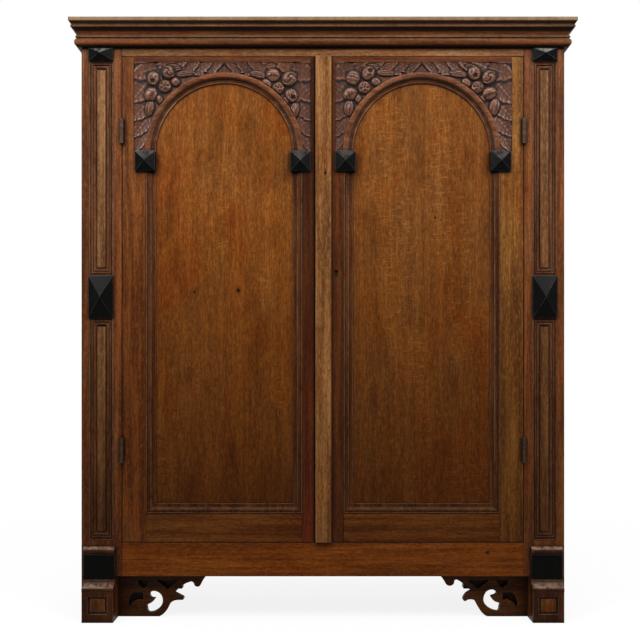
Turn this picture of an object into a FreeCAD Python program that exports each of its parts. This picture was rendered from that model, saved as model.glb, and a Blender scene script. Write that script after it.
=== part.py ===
"""Two-door oak linen cupboard with arched panels, carved corners and ebonised bosses.

Millimetres. +Z is up, the front faces -Y and the middle of the feet is the origin.
"""
import FreeCAD, Part
import os
import re
from types import SimpleNamespace

import Sketcher

Vector = FreeCAD.Vector
doc = FreeCAD.newDocument("cupboard")
TOLERANCE = 0.001

# Driving sizes
SIZES = (
    # Carcass
    ("carcass_width", 1448),
    ("carcass_depth", 536),
    ("carcass_top", 1781),
    ("top_board_thickness", 18),
    ("front_post_width", 121),
    ("front_post_depth", 45),
    ("rear_post_width", 45),
    ("rear_post_depth", 60),
    ("plinth_bottom", 132),
    ("plinth_height", 101),
    ("top_rail_height", 89),
    ("tenon_length", 22),
    ("tenon_thickness", 10),
    ("tenon_shoulder", 8),
    ("side_rail_thickness", 24),
    ("side_top_rail_height", 120),
    ("side_middle_rail_height", 80),
    ("side_middle_rail_level", 960),
    ("side_panel_thickness", 10),
    ("side_panel_recess", 8),
    ("panel_tongue", 8),
    ("back_board_thickness", 10),
    ("back_board_gap", 0.8),
    ("rear_rail_thickness", 24),
    ("rear_rail_height", 100),
    ("bottom_board_thickness", 18),
    ("shelf_thickness", 20),
    ("lower_shelf_level", 600),
    ("middle_shelf_level", 970),
    ("upper_shelf_level", 1340),
    ("shelf_edge_radius", 4),
    ("cleat_width", 20),
    ("cleat_height", 25),
    # Cornice
    ("cornice_height", 83),
    ("cornice_overhang", 32),
    # Framed strips and bosses on the front posts
    ("pilaster_margin", 22),
    ("pilaster_width", 73.4),
    ("pilaster_recess", 8),
    ("pilaster_base", 18),
    ("pilaster_moulding_width", 24.5),
    ("strip_thickness", 4.5),
    ("strip_end_gap", 1.5),
    ("middle_boss_level", 970),
    ("middle_boss_height", 125.7),
    ("top_boss_height", 38.3),
    ("post_boss_base", 5),
    ("post_boss_rise", 18),
    # Feet
    ("foot_inset", 7.5),
    ("foot_width", 93),
    ("foot_height", 222),
    ("foot_projection", 29),
    ("foot_face_height", 92),
    ("foot_panel_bottom", 123),
    ("foot_panel_margin", 25),
    ("foot_panel_seat", 4),
    ("foot_panel_thickness", 3),
    ("tablet_recess_width", 57),
    ("tablet_recess_height", 50),
    ("tablet_recess_depth", 5),
    ("tablet_width", 43.5),
    ("tablet_height", 39),
    ("tablet_base", 2),
    ("tablet_rise", 3),
    ("tablet_level", 51),
    # Brackets
    ("bracket_reach", 254),
    ("bracket_thickness", 18),
    ("bracket_post_lap", 37),
    ("bracket_rail_lap", 40),
    ("glue_block_depth", 30),
    ("glue_block_width", 94),
    ("glue_block_reach", 208),
    ("glue_block_drop", 52),
    ("glue_block_foot", 8),
    # Doors
    ("door_thickness", 26),
    ("door_gap", 1.5),
    ("hinge_gap", 1.6),
    ("meeting_gap", 2.4),
    ("meeting_edge", 22.5),
    ("hinge_stile_width", 70.9),
    ("meeting_sight", 62.5),
    ("bottom_rail_height", 87),
    ("panel_recess", 11),
    ("panel_thickness", 8),
    ("moulding_width", 28),
    ("cove_width", 16),
    ("archivolt_width", 14),
    ("archivolt_rise", 3),
    ("crown_margin", 47.5),
    ("head_lap_outer", 36.5),
    ("head_lap_inner", 25),
    ("head_fillet_height", 15),
    ("ground_depth", 7),
    ("leaf_depth", 4),
    ("fruit_depth", 11),
    ("door_boss_size", 60),
    ("door_boss_base", 8),
    ("door_boss_rise", 16),
    ("meeting_strip_width", 48),
    ("meeting_strip_thickness", 10),
    ("meeting_strip_radius", 3),
    # Hinges
    ("hinge_length", 76),
    ("hinge_top_inset", 224),
    ("hinge_bottom_inset", 276.5),
    ("hinge_leaf_thickness", 2),
    ("hinge_leaf_width", 20),
    ("knuckle_radius", 6.5),
    ("knuckle_standoff", 6.8),
    ("knuckle_gap", 0.3),
    ("pin_radius", 2.5),
    ("pin_clearance", 0.05),
    # Lock and keep
    ("keyhole_level", 1045),
    ("keyhole_centre", 40),
    ("keyhole_radius", 5.5),
    ("keyhole_slot_width", 6),
    ("keyhole_slot_drop", 14),
    ("lock_inset", 2.5),
    ("lock_width", 82),
    ("lock_height", 72),
    ("lock_drop", 32),
    ("lock_depth", 16),
    ("lock_wall", 2.5),
    ("key_chamber_width", 24),
    ("key_chamber_drop", 24),
    ("talon_width", 9),
    ("talon_height", 5),
    ("lock_bolt_length", 60),
    ("lock_bolt_height", 14),
    ("lock_bolt_thickness", 9),
    ("lock_bolt_rise", 16),
    ("bolt_clearance", 0.3),
    ("keep_width", 20),
    ("keep_inset", 1),
    ("keep_clearance", 1),
    # Shoot bolts
    ("shoot_plate_width", 24),
    ("shoot_plate_length", 118),
    ("shoot_plate_thickness", 2),
    ("shoot_bolt_width", 10),
    ("shoot_bolt_depth", 6),
    ("shoot_bolt_length", 106),
    ("shoot_bolt_inset", 2),
    ("shoot_guide_height", 14),
    ("shoot_guide_inset", 16),
    ("shoot_knob_radius", 5),
    ("shoot_knob_length", 7),
    ("strike_clearance", 1),
    ("strike_depth", 16),
)

# Places and sizes that follow from the driving ones
PLACES = (
    ("half_width", "carcass_width / 2"),
    ("front_face", "(cornice_overhang - carcass_depth) / 2"),
    ("back_face", "front_face + carcass_depth"),
    ("post_rear", "front_face + front_post_depth"),
    ("rear_post_front", "back_face - rear_post_depth"),
    ("boards_front", "back_face - back_board_thickness"),
    ("boards_half", "half_width - rear_post_width"),
    ("side_inner", "half_width - side_rail_thickness"),
    ("side_run", "rear_post_front - post_rear"),
    ("opening_half", "half_width - front_post_width"),
    ("plinth_top", "plinth_bottom + plinth_height"),
    ("opening_top", "carcass_top - top_rail_height"),
    ("cabinet_top", "carcass_top + top_board_thickness"),
    ("cornice_bottom", "cabinet_top - cornice_height"),
    ("pilaster_left", "pilaster_margin - half_width"),
    ("pilaster_centre", "pilaster_left + pilaster_width / 2"),
    ("upper_frame_bottom", "middle_boss_level + middle_boss_height / 2"),
    ("upper_frame_top", "cornice_bottom - top_boss_height"),
    ("lower_frame_bottom", "foot_height + pilaster_base"),
    ("lower_frame_top", "middle_boss_level - middle_boss_height / 2"),
    ("foot_left", "foot_inset - half_width"),
    ("foot_centre", "foot_left + foot_width / 2"),
    ("foot_panel_height", "foot_height - foot_panel_bottom - foot_panel_margin"),
    ("door_edge", "opening_half - hinge_gap"),
    ("door_bottom", "plinth_top + door_gap"),
    ("door_top", "opening_top - door_gap"),
    ("door_height", "door_top - door_bottom"),
    ("door_rear", "front_face + door_thickness"),
    ("left_door_end", "meeting_edge + meeting_gap"),
    ("panel_front", "front_face + panel_recess"),
    ("panel_outer", "door_edge - hinge_stile_width"),
    ("arch_centre", "(panel_outer + meeting_sight) / 2"),
    ("arch_radius", "(panel_outer - meeting_sight) / 2 - moulding_width"),
    ("head_radius", "arch_radius + cove_width"),
    ("archivolt_radius", "head_radius + archivolt_width"),
    ("spring_level", "door_top - crown_margin - archivolt_radius"),
    ("door_rail_top", "door_bottom + bottom_rail_height"),
    ("head_outer", "panel_outer + head_lap_outer"),
    ("head_inner", "meeting_sight - head_lap_inner"),
    ("ground_face", "front_face + ground_depth"),
    ("hinge_axis_x", "opening_half - hinge_gap / 2"),
    ("hinge_axis_y", "front_face - knuckle_standoff"),
    ("lock_left", "lock_inset - meeting_edge"),
    ("lock_bottom", "keyhole_level - lock_drop"),
    ("lock_bolt_bottom", "keyhole_level + lock_bolt_rise"),
    ("lock_bolt_front", "door_rear + lock_wall + bolt_clearance"),
    ("outer_boss_centre", "panel_outer - moulding_width + door_boss_size / 2"),
    ("inner_boss_centre", "head_inner + door_boss_size / 2"),
    ("boss_bottom", "spring_level - door_boss_size"),
    ("keep_right", "-left_door_end - keep_inset"),
    ("shoot_centre", "-(meeting_sight + left_door_end) / 2"),
    ("shoot_bolt_front", "door_rear + shoot_plate_thickness + bolt_clearance"),
    ("shoot_guide_depth", "shoot_bolt_depth + 2 * bolt_clearance + shoot_plate_thickness"),
)

# Fruits of one carved corner: across and up from the arch's centre, and radius, all as shares
# of the arch's radius. A pod or an oval fruit is two rounds that run into one another.
FRUIT_SHARES = (
    (1.022, 1.069, 0.093),
    (0.803, 1.143, 0.093),
    (0.630, 1.140, 0.055),
    (0.520, 1.150, 0.045),
    (0.707, 1.013, 0.066),
    (0.864, 0.930, 0.088),
    (1.060, 0.828, 0.095),
    (0.924, 0.758, 0.055),
    (1.107, 0.660, 0.070),
    (1.107, 0.600, 0.065),
)

# Leaf ground of one carved corner, from the boss up the outer edge and along the top to the
# apex of the arch, then back round the arch: across and up from the arch's centre, as shares
# of its radius
LEAF_SHARES = (
    ((1.235, 0.100), (1.205, 0.220)),
    ((1.250, 0.330), (1.210, 0.460)),
    ((1.250, 0.580), (1.210, 0.720)),
    ((1.250, 0.840), (1.215, 0.980)),
    ((1.252, 1.100), (1.180, 1.200)),
    ((1.080, 1.265), (0.970, 1.225)),
    ((0.860, 1.290), (0.740, 1.240)),
    ((0.620, 1.290), (0.500, 1.240)),
    ((0.380, 1.290), (0.270, 1.240)),
    ((0.150, 1.270), (0.050, 1.180)),
    ((0.835, 0.835), (1.180, 0.050)),
)

# Cornice profile, from the foot of the moulding: shares of its overhang and its height. In
# this and the other outlines a stretch of one point is a line, of two an arc and of more a
# smooth curve.
CORNICE_SHARES = (
    ((0.330, 0.080), (0.460, 0.190)),
    ((0.480, 0.290), (0.355, 0.375)),
    ((0.306, 0.385),),
    ((0.306, 0.515),),
    ((0.400, 0.610), (0.560, 0.655)),
    ((0.640, 0.668),),
    ((0.750, 0.715), (0.790, 0.785)),
    ((0.765, 0.800),),
    ((0.820, 0.858), (0.950, 0.880)),
    ((1.000, 0.880),),
    ((1.000, 1.000),),
    ((0.000, 1.000),),
    ((0.000, 0.000),),
)

# Post frame moulding, from the recess floor at its outer edge: shares of its width and depth
PILASTER_SHARES = (
    ((0.000, 0.000),),
    ((0.150, 0.000),),
    ((0.150, 0.300),),
    ((0.230, 0.300),),
    ((0.380, 0.020), (0.530, 0.300)),
    ((0.530, 0.460),),
    ((0.620, 0.460),),
    ((0.620, 0.280),),
    ((0.790, 0.340),),
    ((0.900, 0.560), (1.000, 0.800)),
    ((1.000, 1.000),),
    ((0.000, 1.000),),
)

# Door panel moulding, from the panel at the stile: shares of its width and the panel's recess
MOULDING_SHARES = (
    ((0.000, -0.120),),
    ((0.110, -0.120),),
    ((0.110, 0.120),),
    ((0.300, 0.060), (0.460, 0.360)),
    ((0.540, 0.360),),
    ((0.540, 0.460),),
    ((0.640, 0.690), (0.820, 0.740)),
    ((1.000, 0.780),),
    ((1.000, 1.000),),
    ((0.000, 1.000),),
)

# Hollow between the door panel and the arch, from the panel: shares of the hollow's width and
# the panel's recess
COVE_SHARES = (
    ((0.000, 0.720),),
    ((0.160, 0.600), (0.320, 0.700)),
    ((0.360, 0.800),),
    ((0.720, 0.620), (0.860, 0.150)),
    ((1.000, 0.100),),
)

# Bracket outlines, from the post's inner face at the floor: shares of the reach and of the
# height of the rail above the floor. The two are sawn by hand and differ a little. Each
# outer table runs from the tip under the rail to the foot of the scroll.
LEFT_BRACKET_SHARES = {
    "outer": (
        ((0.940, 0.850), (0.905, 0.728)),
        ((0.867, 0.684), (0.829, 0.728)),
        ((0.813, 0.788), (0.794, 0.804)),
        ((0.725, 0.758), (0.656, 0.670), (0.598, 0.546)),
        ((0.641, 0.504), (0.690, 0.455)),
        ((0.702, 0.400), (0.687, 0.378)),
        ((0.626, 0.375), (0.565, 0.340), (0.526, 0.243), (0.503, 0.155), (0.472, 0.081),
         (0.411, 0.000)),
    ),
    "comma": (
        ((0.300, 0.460), (0.304, 0.553), (0.349, 0.585), (0.395, 0.559), (0.434, 0.492),
         (0.450, 0.405), (0.446, 0.301), (0.419, 0.213), (0.372, 0.132), (0.288, 0.088)),
        ((0.269, 0.118),),
        ((0.258, 0.273),),
        ((0.320, 0.325), (0.361, 0.412)),
        ((0.334, 0.418),),
    ),
    "wedge": (
        ((0.641, 0.839),),
        ((0.579, 0.744), (0.510, 0.626)),
        ((0.449, 0.728), (0.372, 0.839)),
    ),
    "small": (
        ((0.288, 0.839),),
        ((0.273, 0.758), (0.223, 0.663)),
        ((0.173, 0.728), (0.150, 0.839)),
    ),
    "hook": (
        ((0.216, 0.553),),
        ((0.216, 0.382),),
        ((0.125, 0.365), (0.059, 0.243)),
        ((0.040, 0.243),),
        ((0.052, 0.410), (0.101, 0.553)),
    ),
}
RIGHT_BRACKET_SHARES = {
    "outer": (
        ((0.940, 0.880), (0.904, 0.772)),
        ((0.852, 0.704), (0.795, 0.788)),
        ((0.787, 0.839), (0.767, 0.846)),
        ((0.722, 0.802), (0.660, 0.714), (0.600, 0.583)),
        ((0.650, 0.530), (0.692, 0.405)),
        ((0.670, 0.350), (0.645, 0.375)),
        ((0.599, 0.391), (0.561, 0.375), (0.538, 0.317), (0.500, 0.183), (0.461, 0.081),
         (0.400, 0.000)),
    ),
    "comma": (
        ((0.290, 0.546), (0.316, 0.603), (0.377, 0.608), (0.412, 0.566), (0.438, 0.479),
         (0.444, 0.361), (0.423, 0.273), (0.370, 0.176), (0.270, 0.113)),
        ((0.258, 0.155),),
        ((0.251, 0.243), (0.232, 0.317)),
        ((0.293, 0.331), (0.339, 0.391), (0.358, 0.462)),
        ((0.316, 0.485),),
    ),
}
RIGHT_BRACKET_SHARES |= {name: LEFT_BRACKET_SHARES[name] for name in ("wedge", "small", "hook")}


def full(text, own=None):
    """Spell out a sum of aliases for an expression, with the sheet that holds each one."""
    def name(match):
        holder = HOLDER[match.group()]
        return match.group() if holder == own else f"{holder}.{match.group()}"
    return re.sub(r"[a-z][a-z_]+", name, text)


def fill(sheet, rows):
    """Write one sheet: a cell and its alias per row."""
    for row, (alias, content) in enumerate(rows, start=1):
        sheet.set(f"A{row}", content)
        sheet.setAlias(f"A{row}", alias)


HOLDER = {alias: "sizes" for alias, _ in SIZES} | {alias: "places" for alias, _ in PLACES}
sizes = doc.addObject("Spreadsheet::Sheet", "sizes")
fill(sizes, [(alias, str(value)) for alias, value in SIZES])
places = doc.addObject("Spreadsheet::Sheet", "places")
fill(places, [(alias, "=" + full(text, "places")) for alias, text in PLACES])
doc.recompute()
at = SimpleNamespace(**{alias: float(sizes.get(alias)) for alias, _ in SIZES},
                     **{alias: float(places.get(alias)) for alias, _ in PLACES})
nodes = []


def node(piece):
    """Hand a finished piece in under its own label."""
    nodes.append(piece)
    return piece


def bind(piece, **sums):
    """Tie a piece's properties to the sheets."""
    for name, text in sums.items():
        piece.setExpression(name, full(text))
    return piece


def place(piece, x, y, z):
    """Tie a piece's position to the sheets."""
    for axis, text in zip("xyz", (x, y, z)):
        piece.setExpression(f"Placement.Base.{axis}", full(text))
    return piece


def box(name, x, y, z, wide, deep, high):
    """A block from its left, front, bottom corner."""
    piece = doc.addObject("Part::Box", name)
    bind(piece, Length=wide, Width=deep, Height=high)
    return place(piece, x, y, z)


def upright(name, x, y, z, radius, high):
    """A round bar standing on its end."""
    piece = doc.addObject("Part::Cylinder", name)
    bind(piece, Radius=radius, Height=high)
    return place(piece, x, y, z)


def peg(name, x, y, z, radius, deep):
    """A round bar that runs backwards from its front end."""
    piece = upright(name, x, y, z, radius, deep)
    piece.Placement = FreeCAD.Placement(Vector(), FreeCAD.Rotation(Vector(1, 0, 0), -90))
    return place(piece, x, y, z)


def pyramid(name, x, y, z, wide, rise, high):
    """A pyramid on an upright base at y, centred on x and z, with its point to the front."""
    piece = doc.addObject("Part::Wedge", name)
    bind(piece, Xmin="0", Ymin="0", Zmin="0", Xmax=wide, Ymax=rise, Zmax=high,
         X2min=f"({wide}) / 2", X2max=f"({wide}) / 2", Z2min=f"({high}) / 2", Z2max=f"({high}) / 2")
    piece.Placement = FreeCAD.Placement(Vector(), FreeCAD.Rotation(Vector(0, 0, 1), 180))
    return place(piece, f"{x} + ({wide}) / 2", y, f"{z} - ({high}) / 2")


def group(name, *pieces):
    """Separate solids kept together."""
    piece = doc.addObject("Part::Compound", name)
    piece.Links = list(pieces)
    return piece


def joined(name, *pieces):
    """Pieces fused into one solid."""
    piece = doc.addObject("Part::MultiFuse", name)
    piece.Shapes = list(pieces)
    piece.Refine = True
    return piece


def shared(name, first, second):
    """What two pieces have in common."""
    piece = doc.addObject("Part::Common", name)
    piece.Base = first
    piece.Tool = second
    return piece


def cut(name, base, *tools):
    """A piece with others taken out of it."""
    piece = doc.addObject("Part::Cut", name)
    piece.Base = base
    piece.Tool = tools[0] if len(tools) == 1 else joined(name + "_tools", *tools)
    return piece


def mirrored(name, source):
    """The same piece on the other side of the cupboard."""
    piece = doc.addObject("Part::Mirroring", name)
    piece.Source = source
    piece.Normal = Vector(1, 0, 0)
    return piece


def feature(name, shape):
    """A document object that holds a ready shape."""
    piece = doc.addObject("Part::Feature", name)
    piece.Shape = shape
    return piece


def outline(start, stretches, spot):
    """A closed wire from a table of stretches; spot turns a table point into a place."""
    edges = []
    here = spot(*start)
    for stretch in stretches:
        points = [here] + [spot(*point) for point in stretch]
        if len(points) == 2:
            curve = Part.LineSegment(*points)
        elif len(points) == 3:
            curve = Part.Arc(*points)
        else:
            curve = Part.BSplineCurve()
            curve.interpolate(points)
        edges.append(curve.toShape())
        here = points[-1]
    return Part.Wire(edges)


def path(name, *points):
    """A line of straight runs for a moulding to follow."""
    return feature(name, Part.makePolygon([Vector(*point) for point in points]))


def swept(name, profile, spine):
    """A moulding of one profile along a path, mitred at its corners."""
    piece = doc.addObject("Part::Sweep", name)
    piece.Sections = [profile]
    piece.Spine = (spine, [f"Edge{index + 1}" for index in range(len(spine.Shape.Edges))])
    piece.Solid = True
    piece.Transition = "Right corner"
    return piece


def board(name, x, y, z, wide, deep, high, eased=None, radius=None):
    """A board as a padded rectangle, with the eased front edges rounded."""
    body = doc.addObject("PartDesign::Body", name)
    sketch = body.newObject("Sketcher::SketchObject", name + "_outline")
    floor = next(item for item in body.Origin.OriginFeatures if item.Role == "XY_Plane")
    sketch.AttachmentSupport = [(floor, "")]
    sketch.MapMode = "FlatFace"
    corners = [Vector(0, 0), Vector(1, 0), Vector(1, 1), Vector(0, 1)]
    for index in range(4):
        sketch.addGeometry(Part.LineSegment(corners[index], corners[(index + 1) % 4]), False)
    for index in range(4):
        sketch.addConstraint(Sketcher.Constraint("Coincident", index, 2, (index + 1) % 4, 1))
    for index, way in enumerate(("Horizontal", "Vertical", "Horizontal", "Vertical")):
        sketch.addConstraint(Sketcher.Constraint(way, index))
    sketch.addConstraint(Sketcher.Constraint("Coincident", 0, 1, -1, 1))
    across = sketch.addConstraint(Sketcher.Constraint("DistanceX", 0, 1, 0, 2, 1))
    back = sketch.addConstraint(Sketcher.Constraint("DistanceY", 1, 1, 1, 2, 1))
    bind(sketch, **{f"Constraints[{across}]": wide, f"Constraints[{back}]": deep})
    pad = body.newObject("PartDesign::Pad", name + "_pad")
    pad.Profile = sketch
    bind(pad, Length=high)
    place(body, x, y, z)
    if eased:
        pad.recompute(True)
        fillet = body.newObject("PartDesign::Fillet", name + "_edges")
        fillet.Base = (pad, front_edges(pad.Shape, eased))
        bind(fillet, Radius=radius)
    return body


def front_edges(shape, way):
    """The names of a board's front edges that run along one axis."""
    names = []
    for index, edge in enumerate(shape.Edges, start=1):
        first, last = (vertex.Point for vertex in edge.Vertexes)
        across = (last - first).cross(way).Length
        if max(across, abs(first.y), abs(last.y)) < TOLERANCE:
            names.append(f"Edge{index}")
    return names


def frame_path(name, left, bottom, right, top, y):
    """A closed rectangle that starts in the middle of its bottom side."""
    middle = (left + right) / 2
    return path(name, (middle, y, bottom), (right, y, bottom), (right, y, top),
                (left, y, top), (left, y, bottom), (middle, y, bottom))


# Blanks of the pieces that others are let into
front_post_blank = box("front_post_blank", "-half_width", "front_face", "0",
                       "front_post_width", "front_post_depth", "carcass_top")
rear_post_blank = box("rear_post_blank", "-half_width", "rear_post_front", "0",
                      "rear_post_width", "rear_post_depth", "carcass_top")
rear_post_blank_right = mirrored("rear_post_blank_right", rear_post_blank)


def tenon(name, y, bottom, high):
    """A cross tenon into the left front post, shouldered above and below."""
    return box(name, "-opening_half - tenon_length", y, f"{bottom} + tenon_shoulder",
               "tenon_length", "tenon_thickness", f"{high} - 2 * tenon_shoulder")


# Plinth rail and top rail between the front posts
plinth_tenon = tenon("plinth_tenon", "front_face + (front_post_depth - tenon_thickness) / 2",
                     "plinth_bottom", "plinth_height")
top_rail_tenon = tenon("top_rail_tenon", "front_face + (door_thickness - tenon_thickness) / 2",
                       "opening_top", "top_rail_height")
plinth_blank = board("plinth_blank", "-opening_half", "front_face", "plinth_bottom",
                     "2 * opening_half", "front_post_depth", "plinth_height")
strike = box("strike", "shoot_centre - shoot_bolt_width / 2 - strike_clearance",
             "shoot_bolt_front - strike_clearance", "plinth_top - strike_depth",
             "shoot_bolt_width + 2 * strike_clearance", "shoot_bolt_depth + 2 * strike_clearance",
             "strike_depth + door_gap")
node(cut("plinth_rail",
         joined("plinth_with_tenons", plinth_blank, plinth_tenon,
                mirrored("plinth_tenon_right", plinth_tenon)), strike))
top_rail_blank = board("top_rail_blank", "-opening_half", "front_face", "opening_top",
                       "2 * opening_half", "door_thickness", "top_rail_height")
node(joined("top_rail", top_rail_blank, top_rail_tenon,
            mirrored("top_rail_tenon_right", top_rail_tenon)))


def side_rail(name, bottom, high):
    """A rail between the left posts, with a tenon into each."""
    rail = box(name + "_bar", "-half_width", "post_rear", bottom,
               "side_rail_thickness", "side_run", high)
    bar_tenon = box(name + "_tenons",
                    "-half_width + (side_rail_thickness - tenon_thickness) / 2",
                    "post_rear - tenon_length", f"{bottom} + tenon_shoulder", "tenon_thickness",
                    "side_run + 2 * tenon_length", f"{high} - 2 * tenon_shoulder")
    return joined(name, rail, bar_tenon)


# Sides: three rails and two panels a side, between the front and the rear post
side_rails = [
    side_rail("side_bottom_rail", "plinth_bottom", "plinth_height"),
    side_rail("side_middle_rail", "side_middle_rail_level - side_middle_rail_height / 2",
              "side_middle_rail_height"),
    side_rail("side_top_rail", "carcass_top - side_top_rail_height", "side_top_rail_height"),
]


def side_panel(name, bottom, top):
    """A flat panel whose edges run into grooves all round."""
    return box(name, "-half_width + side_panel_recess", "post_rear - panel_tongue",
               f"{bottom} - panel_tongue", "side_panel_thickness", "side_run + 2 * panel_tongue",
               f"{top} - ({bottom}) + 2 * panel_tongue")


side_panels = [
    side_panel("lower_side_panel", "plinth_top",
               "side_middle_rail_level - side_middle_rail_height / 2"),
    side_panel("upper_side_panel", "side_middle_rail_level + side_middle_rail_height / 2",
               "carcass_top - side_top_rail_height"),
]
left_side_panels = group("left_side_panels", *side_panels)
left_side_rails = group("left_side_rails", *[
    cut(rail.Name + "_grooved", rail, left_side_panels) for rail in side_rails])
node(group("side_panels", left_side_panels, mirrored("right_side_panels", left_side_panels)))
node(group("side_rails", left_side_rails, mirrored("right_side_rails", left_side_rails)))

# Framed strips on the posts: a recess, a mitred moulding and a light strip in each frame
FRAMES = (("lower", "lower_frame_bottom", "lower_frame_top"),
          ("upper", "upper_frame_bottom", "upper_frame_top"))
recesses = []
frame_mouldings = []
strips = []
for name, bottom, top in FRAMES:
    recesses.append(box(f"{name}_recess", "pilaster_left", "front_face", bottom,
                        "pilaster_width", "pilaster_recess", f"{top} - {bottom}"))
    low = getattr(at, bottom)

    def frame_spot(across, depth):
        return Vector(at.pilaster_centre, at.front_face + depth * at.pilaster_recess,
                      low + across * at.pilaster_moulding_width)

    profile = feature(f"{name}_frame_profile", outline((0, 1), PILASTER_SHARES, frame_spot))
    spine = frame_path(f"{name}_frame_path", at.pilaster_left, low,
                       at.pilaster_left + at.pilaster_width, getattr(at, top), at.front_face)
    frame_mouldings.append(swept(f"{name}_frame_moulding", profile, spine))
    strips.append(box(f"{name}_strip", "pilaster_left + pilaster_moulding_width",
                      "front_face + pilaster_recess - strip_thickness",
                      f"{bottom} + pilaster_moulding_width + strip_end_gap",
                      "pilaster_width - 2 * pilaster_moulding_width", "strip_thickness",
                      f"{top} - {bottom} - 2 * (pilaster_moulding_width + strip_end_gap)"))
left_frame_mouldings = group("left_frame_mouldings", *frame_mouldings)
node(group("post_mouldings", left_frame_mouldings,
           mirrored("right_frame_mouldings", left_frame_mouldings)))
left_strips = group("left_strips", *strips)
node(group("post_strips", left_strips, mirrored("right_strips", left_strips)))


def boss(name, x, z, wide, high, base, rise):
    """An ebonised pyramid on a shallow square block, against the front face."""
    block = box(name + "_block", f"{x} - ({wide}) / 2", f"front_face - {base}",
                f"{z} - ({high}) / 2", wide, base, high)
    point = pyramid(name + "_point", x, f"front_face - {base}", z, wide, rise, high)
    return joined(name, block, point)


top_boss = boss("top_boss", "pilaster_centre", "(cornice_bottom - top_boss_height / 2)",
                "pilaster_width", "top_boss_height", "post_boss_base", "post_boss_rise")
middle_boss = boss("middle_boss", "pilaster_centre", "middle_boss_level", "pilaster_width",
                   "middle_boss_height", "post_boss_base", "post_boss_rise")
left_post_bosses = node(group("left_post_bosses", top_boss, middle_boss))
node(mirrored("right_post_bosses", left_post_bosses))


# Hinges: plates, knuckles and pins at two heights
HINGE_LEVELS = (("upper", "door_top - hinge_top_inset"), ("lower", "door_bottom + hinge_bottom_inset"))


def hinge_plate(name, side_x, level):
    """A leaf's plate, let in flush with the wood's edge."""
    return box(name, side_x, "front_face", f"{level} - hinge_length / 2",
               "hinge_leaf_thickness", "hinge_leaf_width", "hinge_length")


def hinge_leaf(name, plate, side_x, level, knuckles, bore):
    """A leaf with its share of the five knuckles, bored for the pin."""
    parts = [plate]
    for index in knuckles:
        foot = f"{level} - hinge_length / 2 + {index} * hinge_length / 5 + knuckle_gap / 2"
        tall = "hinge_length / 5 - knuckle_gap"
        parts.append(box(f"{name}_web_{index}", side_x, "hinge_axis_y", foot,
                         "hinge_leaf_thickness", "knuckle_standoff", tall))
        parts.append(upright(f"{name}_knuckle_{index}", "-hinge_axis_x", "hinge_axis_y", foot,
                             "knuckle_radius", tall))
    hole = upright(f"{name}_bore", "-hinge_axis_x", "hinge_axis_y",
                   f"{level} - hinge_length / 2", bore, "hinge_length")
    return cut(name, joined(name + "_solid", *parts), hole)


frame_plates = []
door_plates = []
frame_leaves = []
door_leaves = []
pins = []
for name, level in HINGE_LEVELS:
    frame_x = "-opening_half - hinge_leaf_thickness"
    frame_plates.append(hinge_plate(f"{name}_frame_plate", frame_x, level))
    door_plates.append(hinge_plate(f"{name}_door_plate", "-door_edge", level))
    frame_leaves.append(hinge_leaf(f"{name}_frame_leaf", frame_plates[-1], frame_x, level,
                                   (0, 2, 4), "pin_radius"))
    door_leaves.append(hinge_leaf(f"{name}_door_leaf", door_plates[-1], "-door_edge", level,
                                  (1, 3), "pin_radius + pin_clearance"))
    pins.append(upright(f"{name}_pin", "-hinge_axis_x", "hinge_axis_y",
                        f"{level} - hinge_length / 2", "pin_radius", "hinge_length"))
left_frame_leaves = group("left_frame_leaves", *frame_leaves)
node(group("hinge_frame_leaves", left_frame_leaves,
           mirrored("right_frame_leaves", left_frame_leaves)))
left_pins = group("left_pins", *pins)
node(group("hinge_pins", left_pins, mirrored("right_pins", left_pins)))

# Corner posts. The inner strip of a front post ends at the plinth's foot, beside the foot block.
post_notch = box("post_notch", "foot_left + foot_width", "front_face", "0",
                 "-opening_half - (foot_left + foot_width)", "front_post_depth", "plinth_bottom")
front_post_left = node(cut("front_post_left", front_post_blank, plinth_tenon, top_rail_tenon,
                           post_notch, *side_rails, left_side_panels, *recesses, *frame_plates))
node(mirrored("front_post_right", front_post_left))

# Back: two rails between the rear posts, boards nailed over them
rear_rails = [
    box("rear_bottom_rail", "-boards_half", "boards_front - rear_rail_thickness", "plinth_bottom",
        "2 * boards_half", "rear_rail_thickness", "plinth_height - bottom_board_thickness"),
    box("rear_top_rail", "-boards_half", "boards_front - rear_rail_thickness",
        "carcass_top - rear_rail_height", "2 * boards_half", "rear_rail_thickness",
        "rear_rail_height"),
]
node(group("rear_rails", *rear_rails))
rear_post_left = node(cut("rear_post_left", rear_post_blank, *side_rails, left_side_panels))
node(mirrored("rear_post_right", rear_post_left))
BACK_BOARDS = 8
pitch = f"(2 * boards_half + back_board_gap) / {BACK_BOARDS}"
node(group("back_boards", *[
    box(f"back_board_{index + 1}", f"-boards_half + {index} * {pitch}", "boards_front",
        "plinth_bottom", f"{pitch} - back_board_gap", "back_board_thickness",
        "carcass_top - plinth_bottom")
    for index in range(BACK_BOARDS)]))

# Top, bottom and shelves
node(board("top_board", "-half_width", "front_face", "carcass_top",
           "carcass_width", "carcass_depth", "top_board_thickness"))


def floor_board(name, bottom, thick, eased=None):
    """A level board inside the carcass, notched round the rear posts."""
    blank = board(name + "_blank", "-side_inner", "post_rear", bottom, "2 * side_inner",
                  "boards_front - post_rear", thick, eased, "shelf_edge_radius")
    return cut(name, blank, rear_post_blank, rear_post_blank_right)


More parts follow.
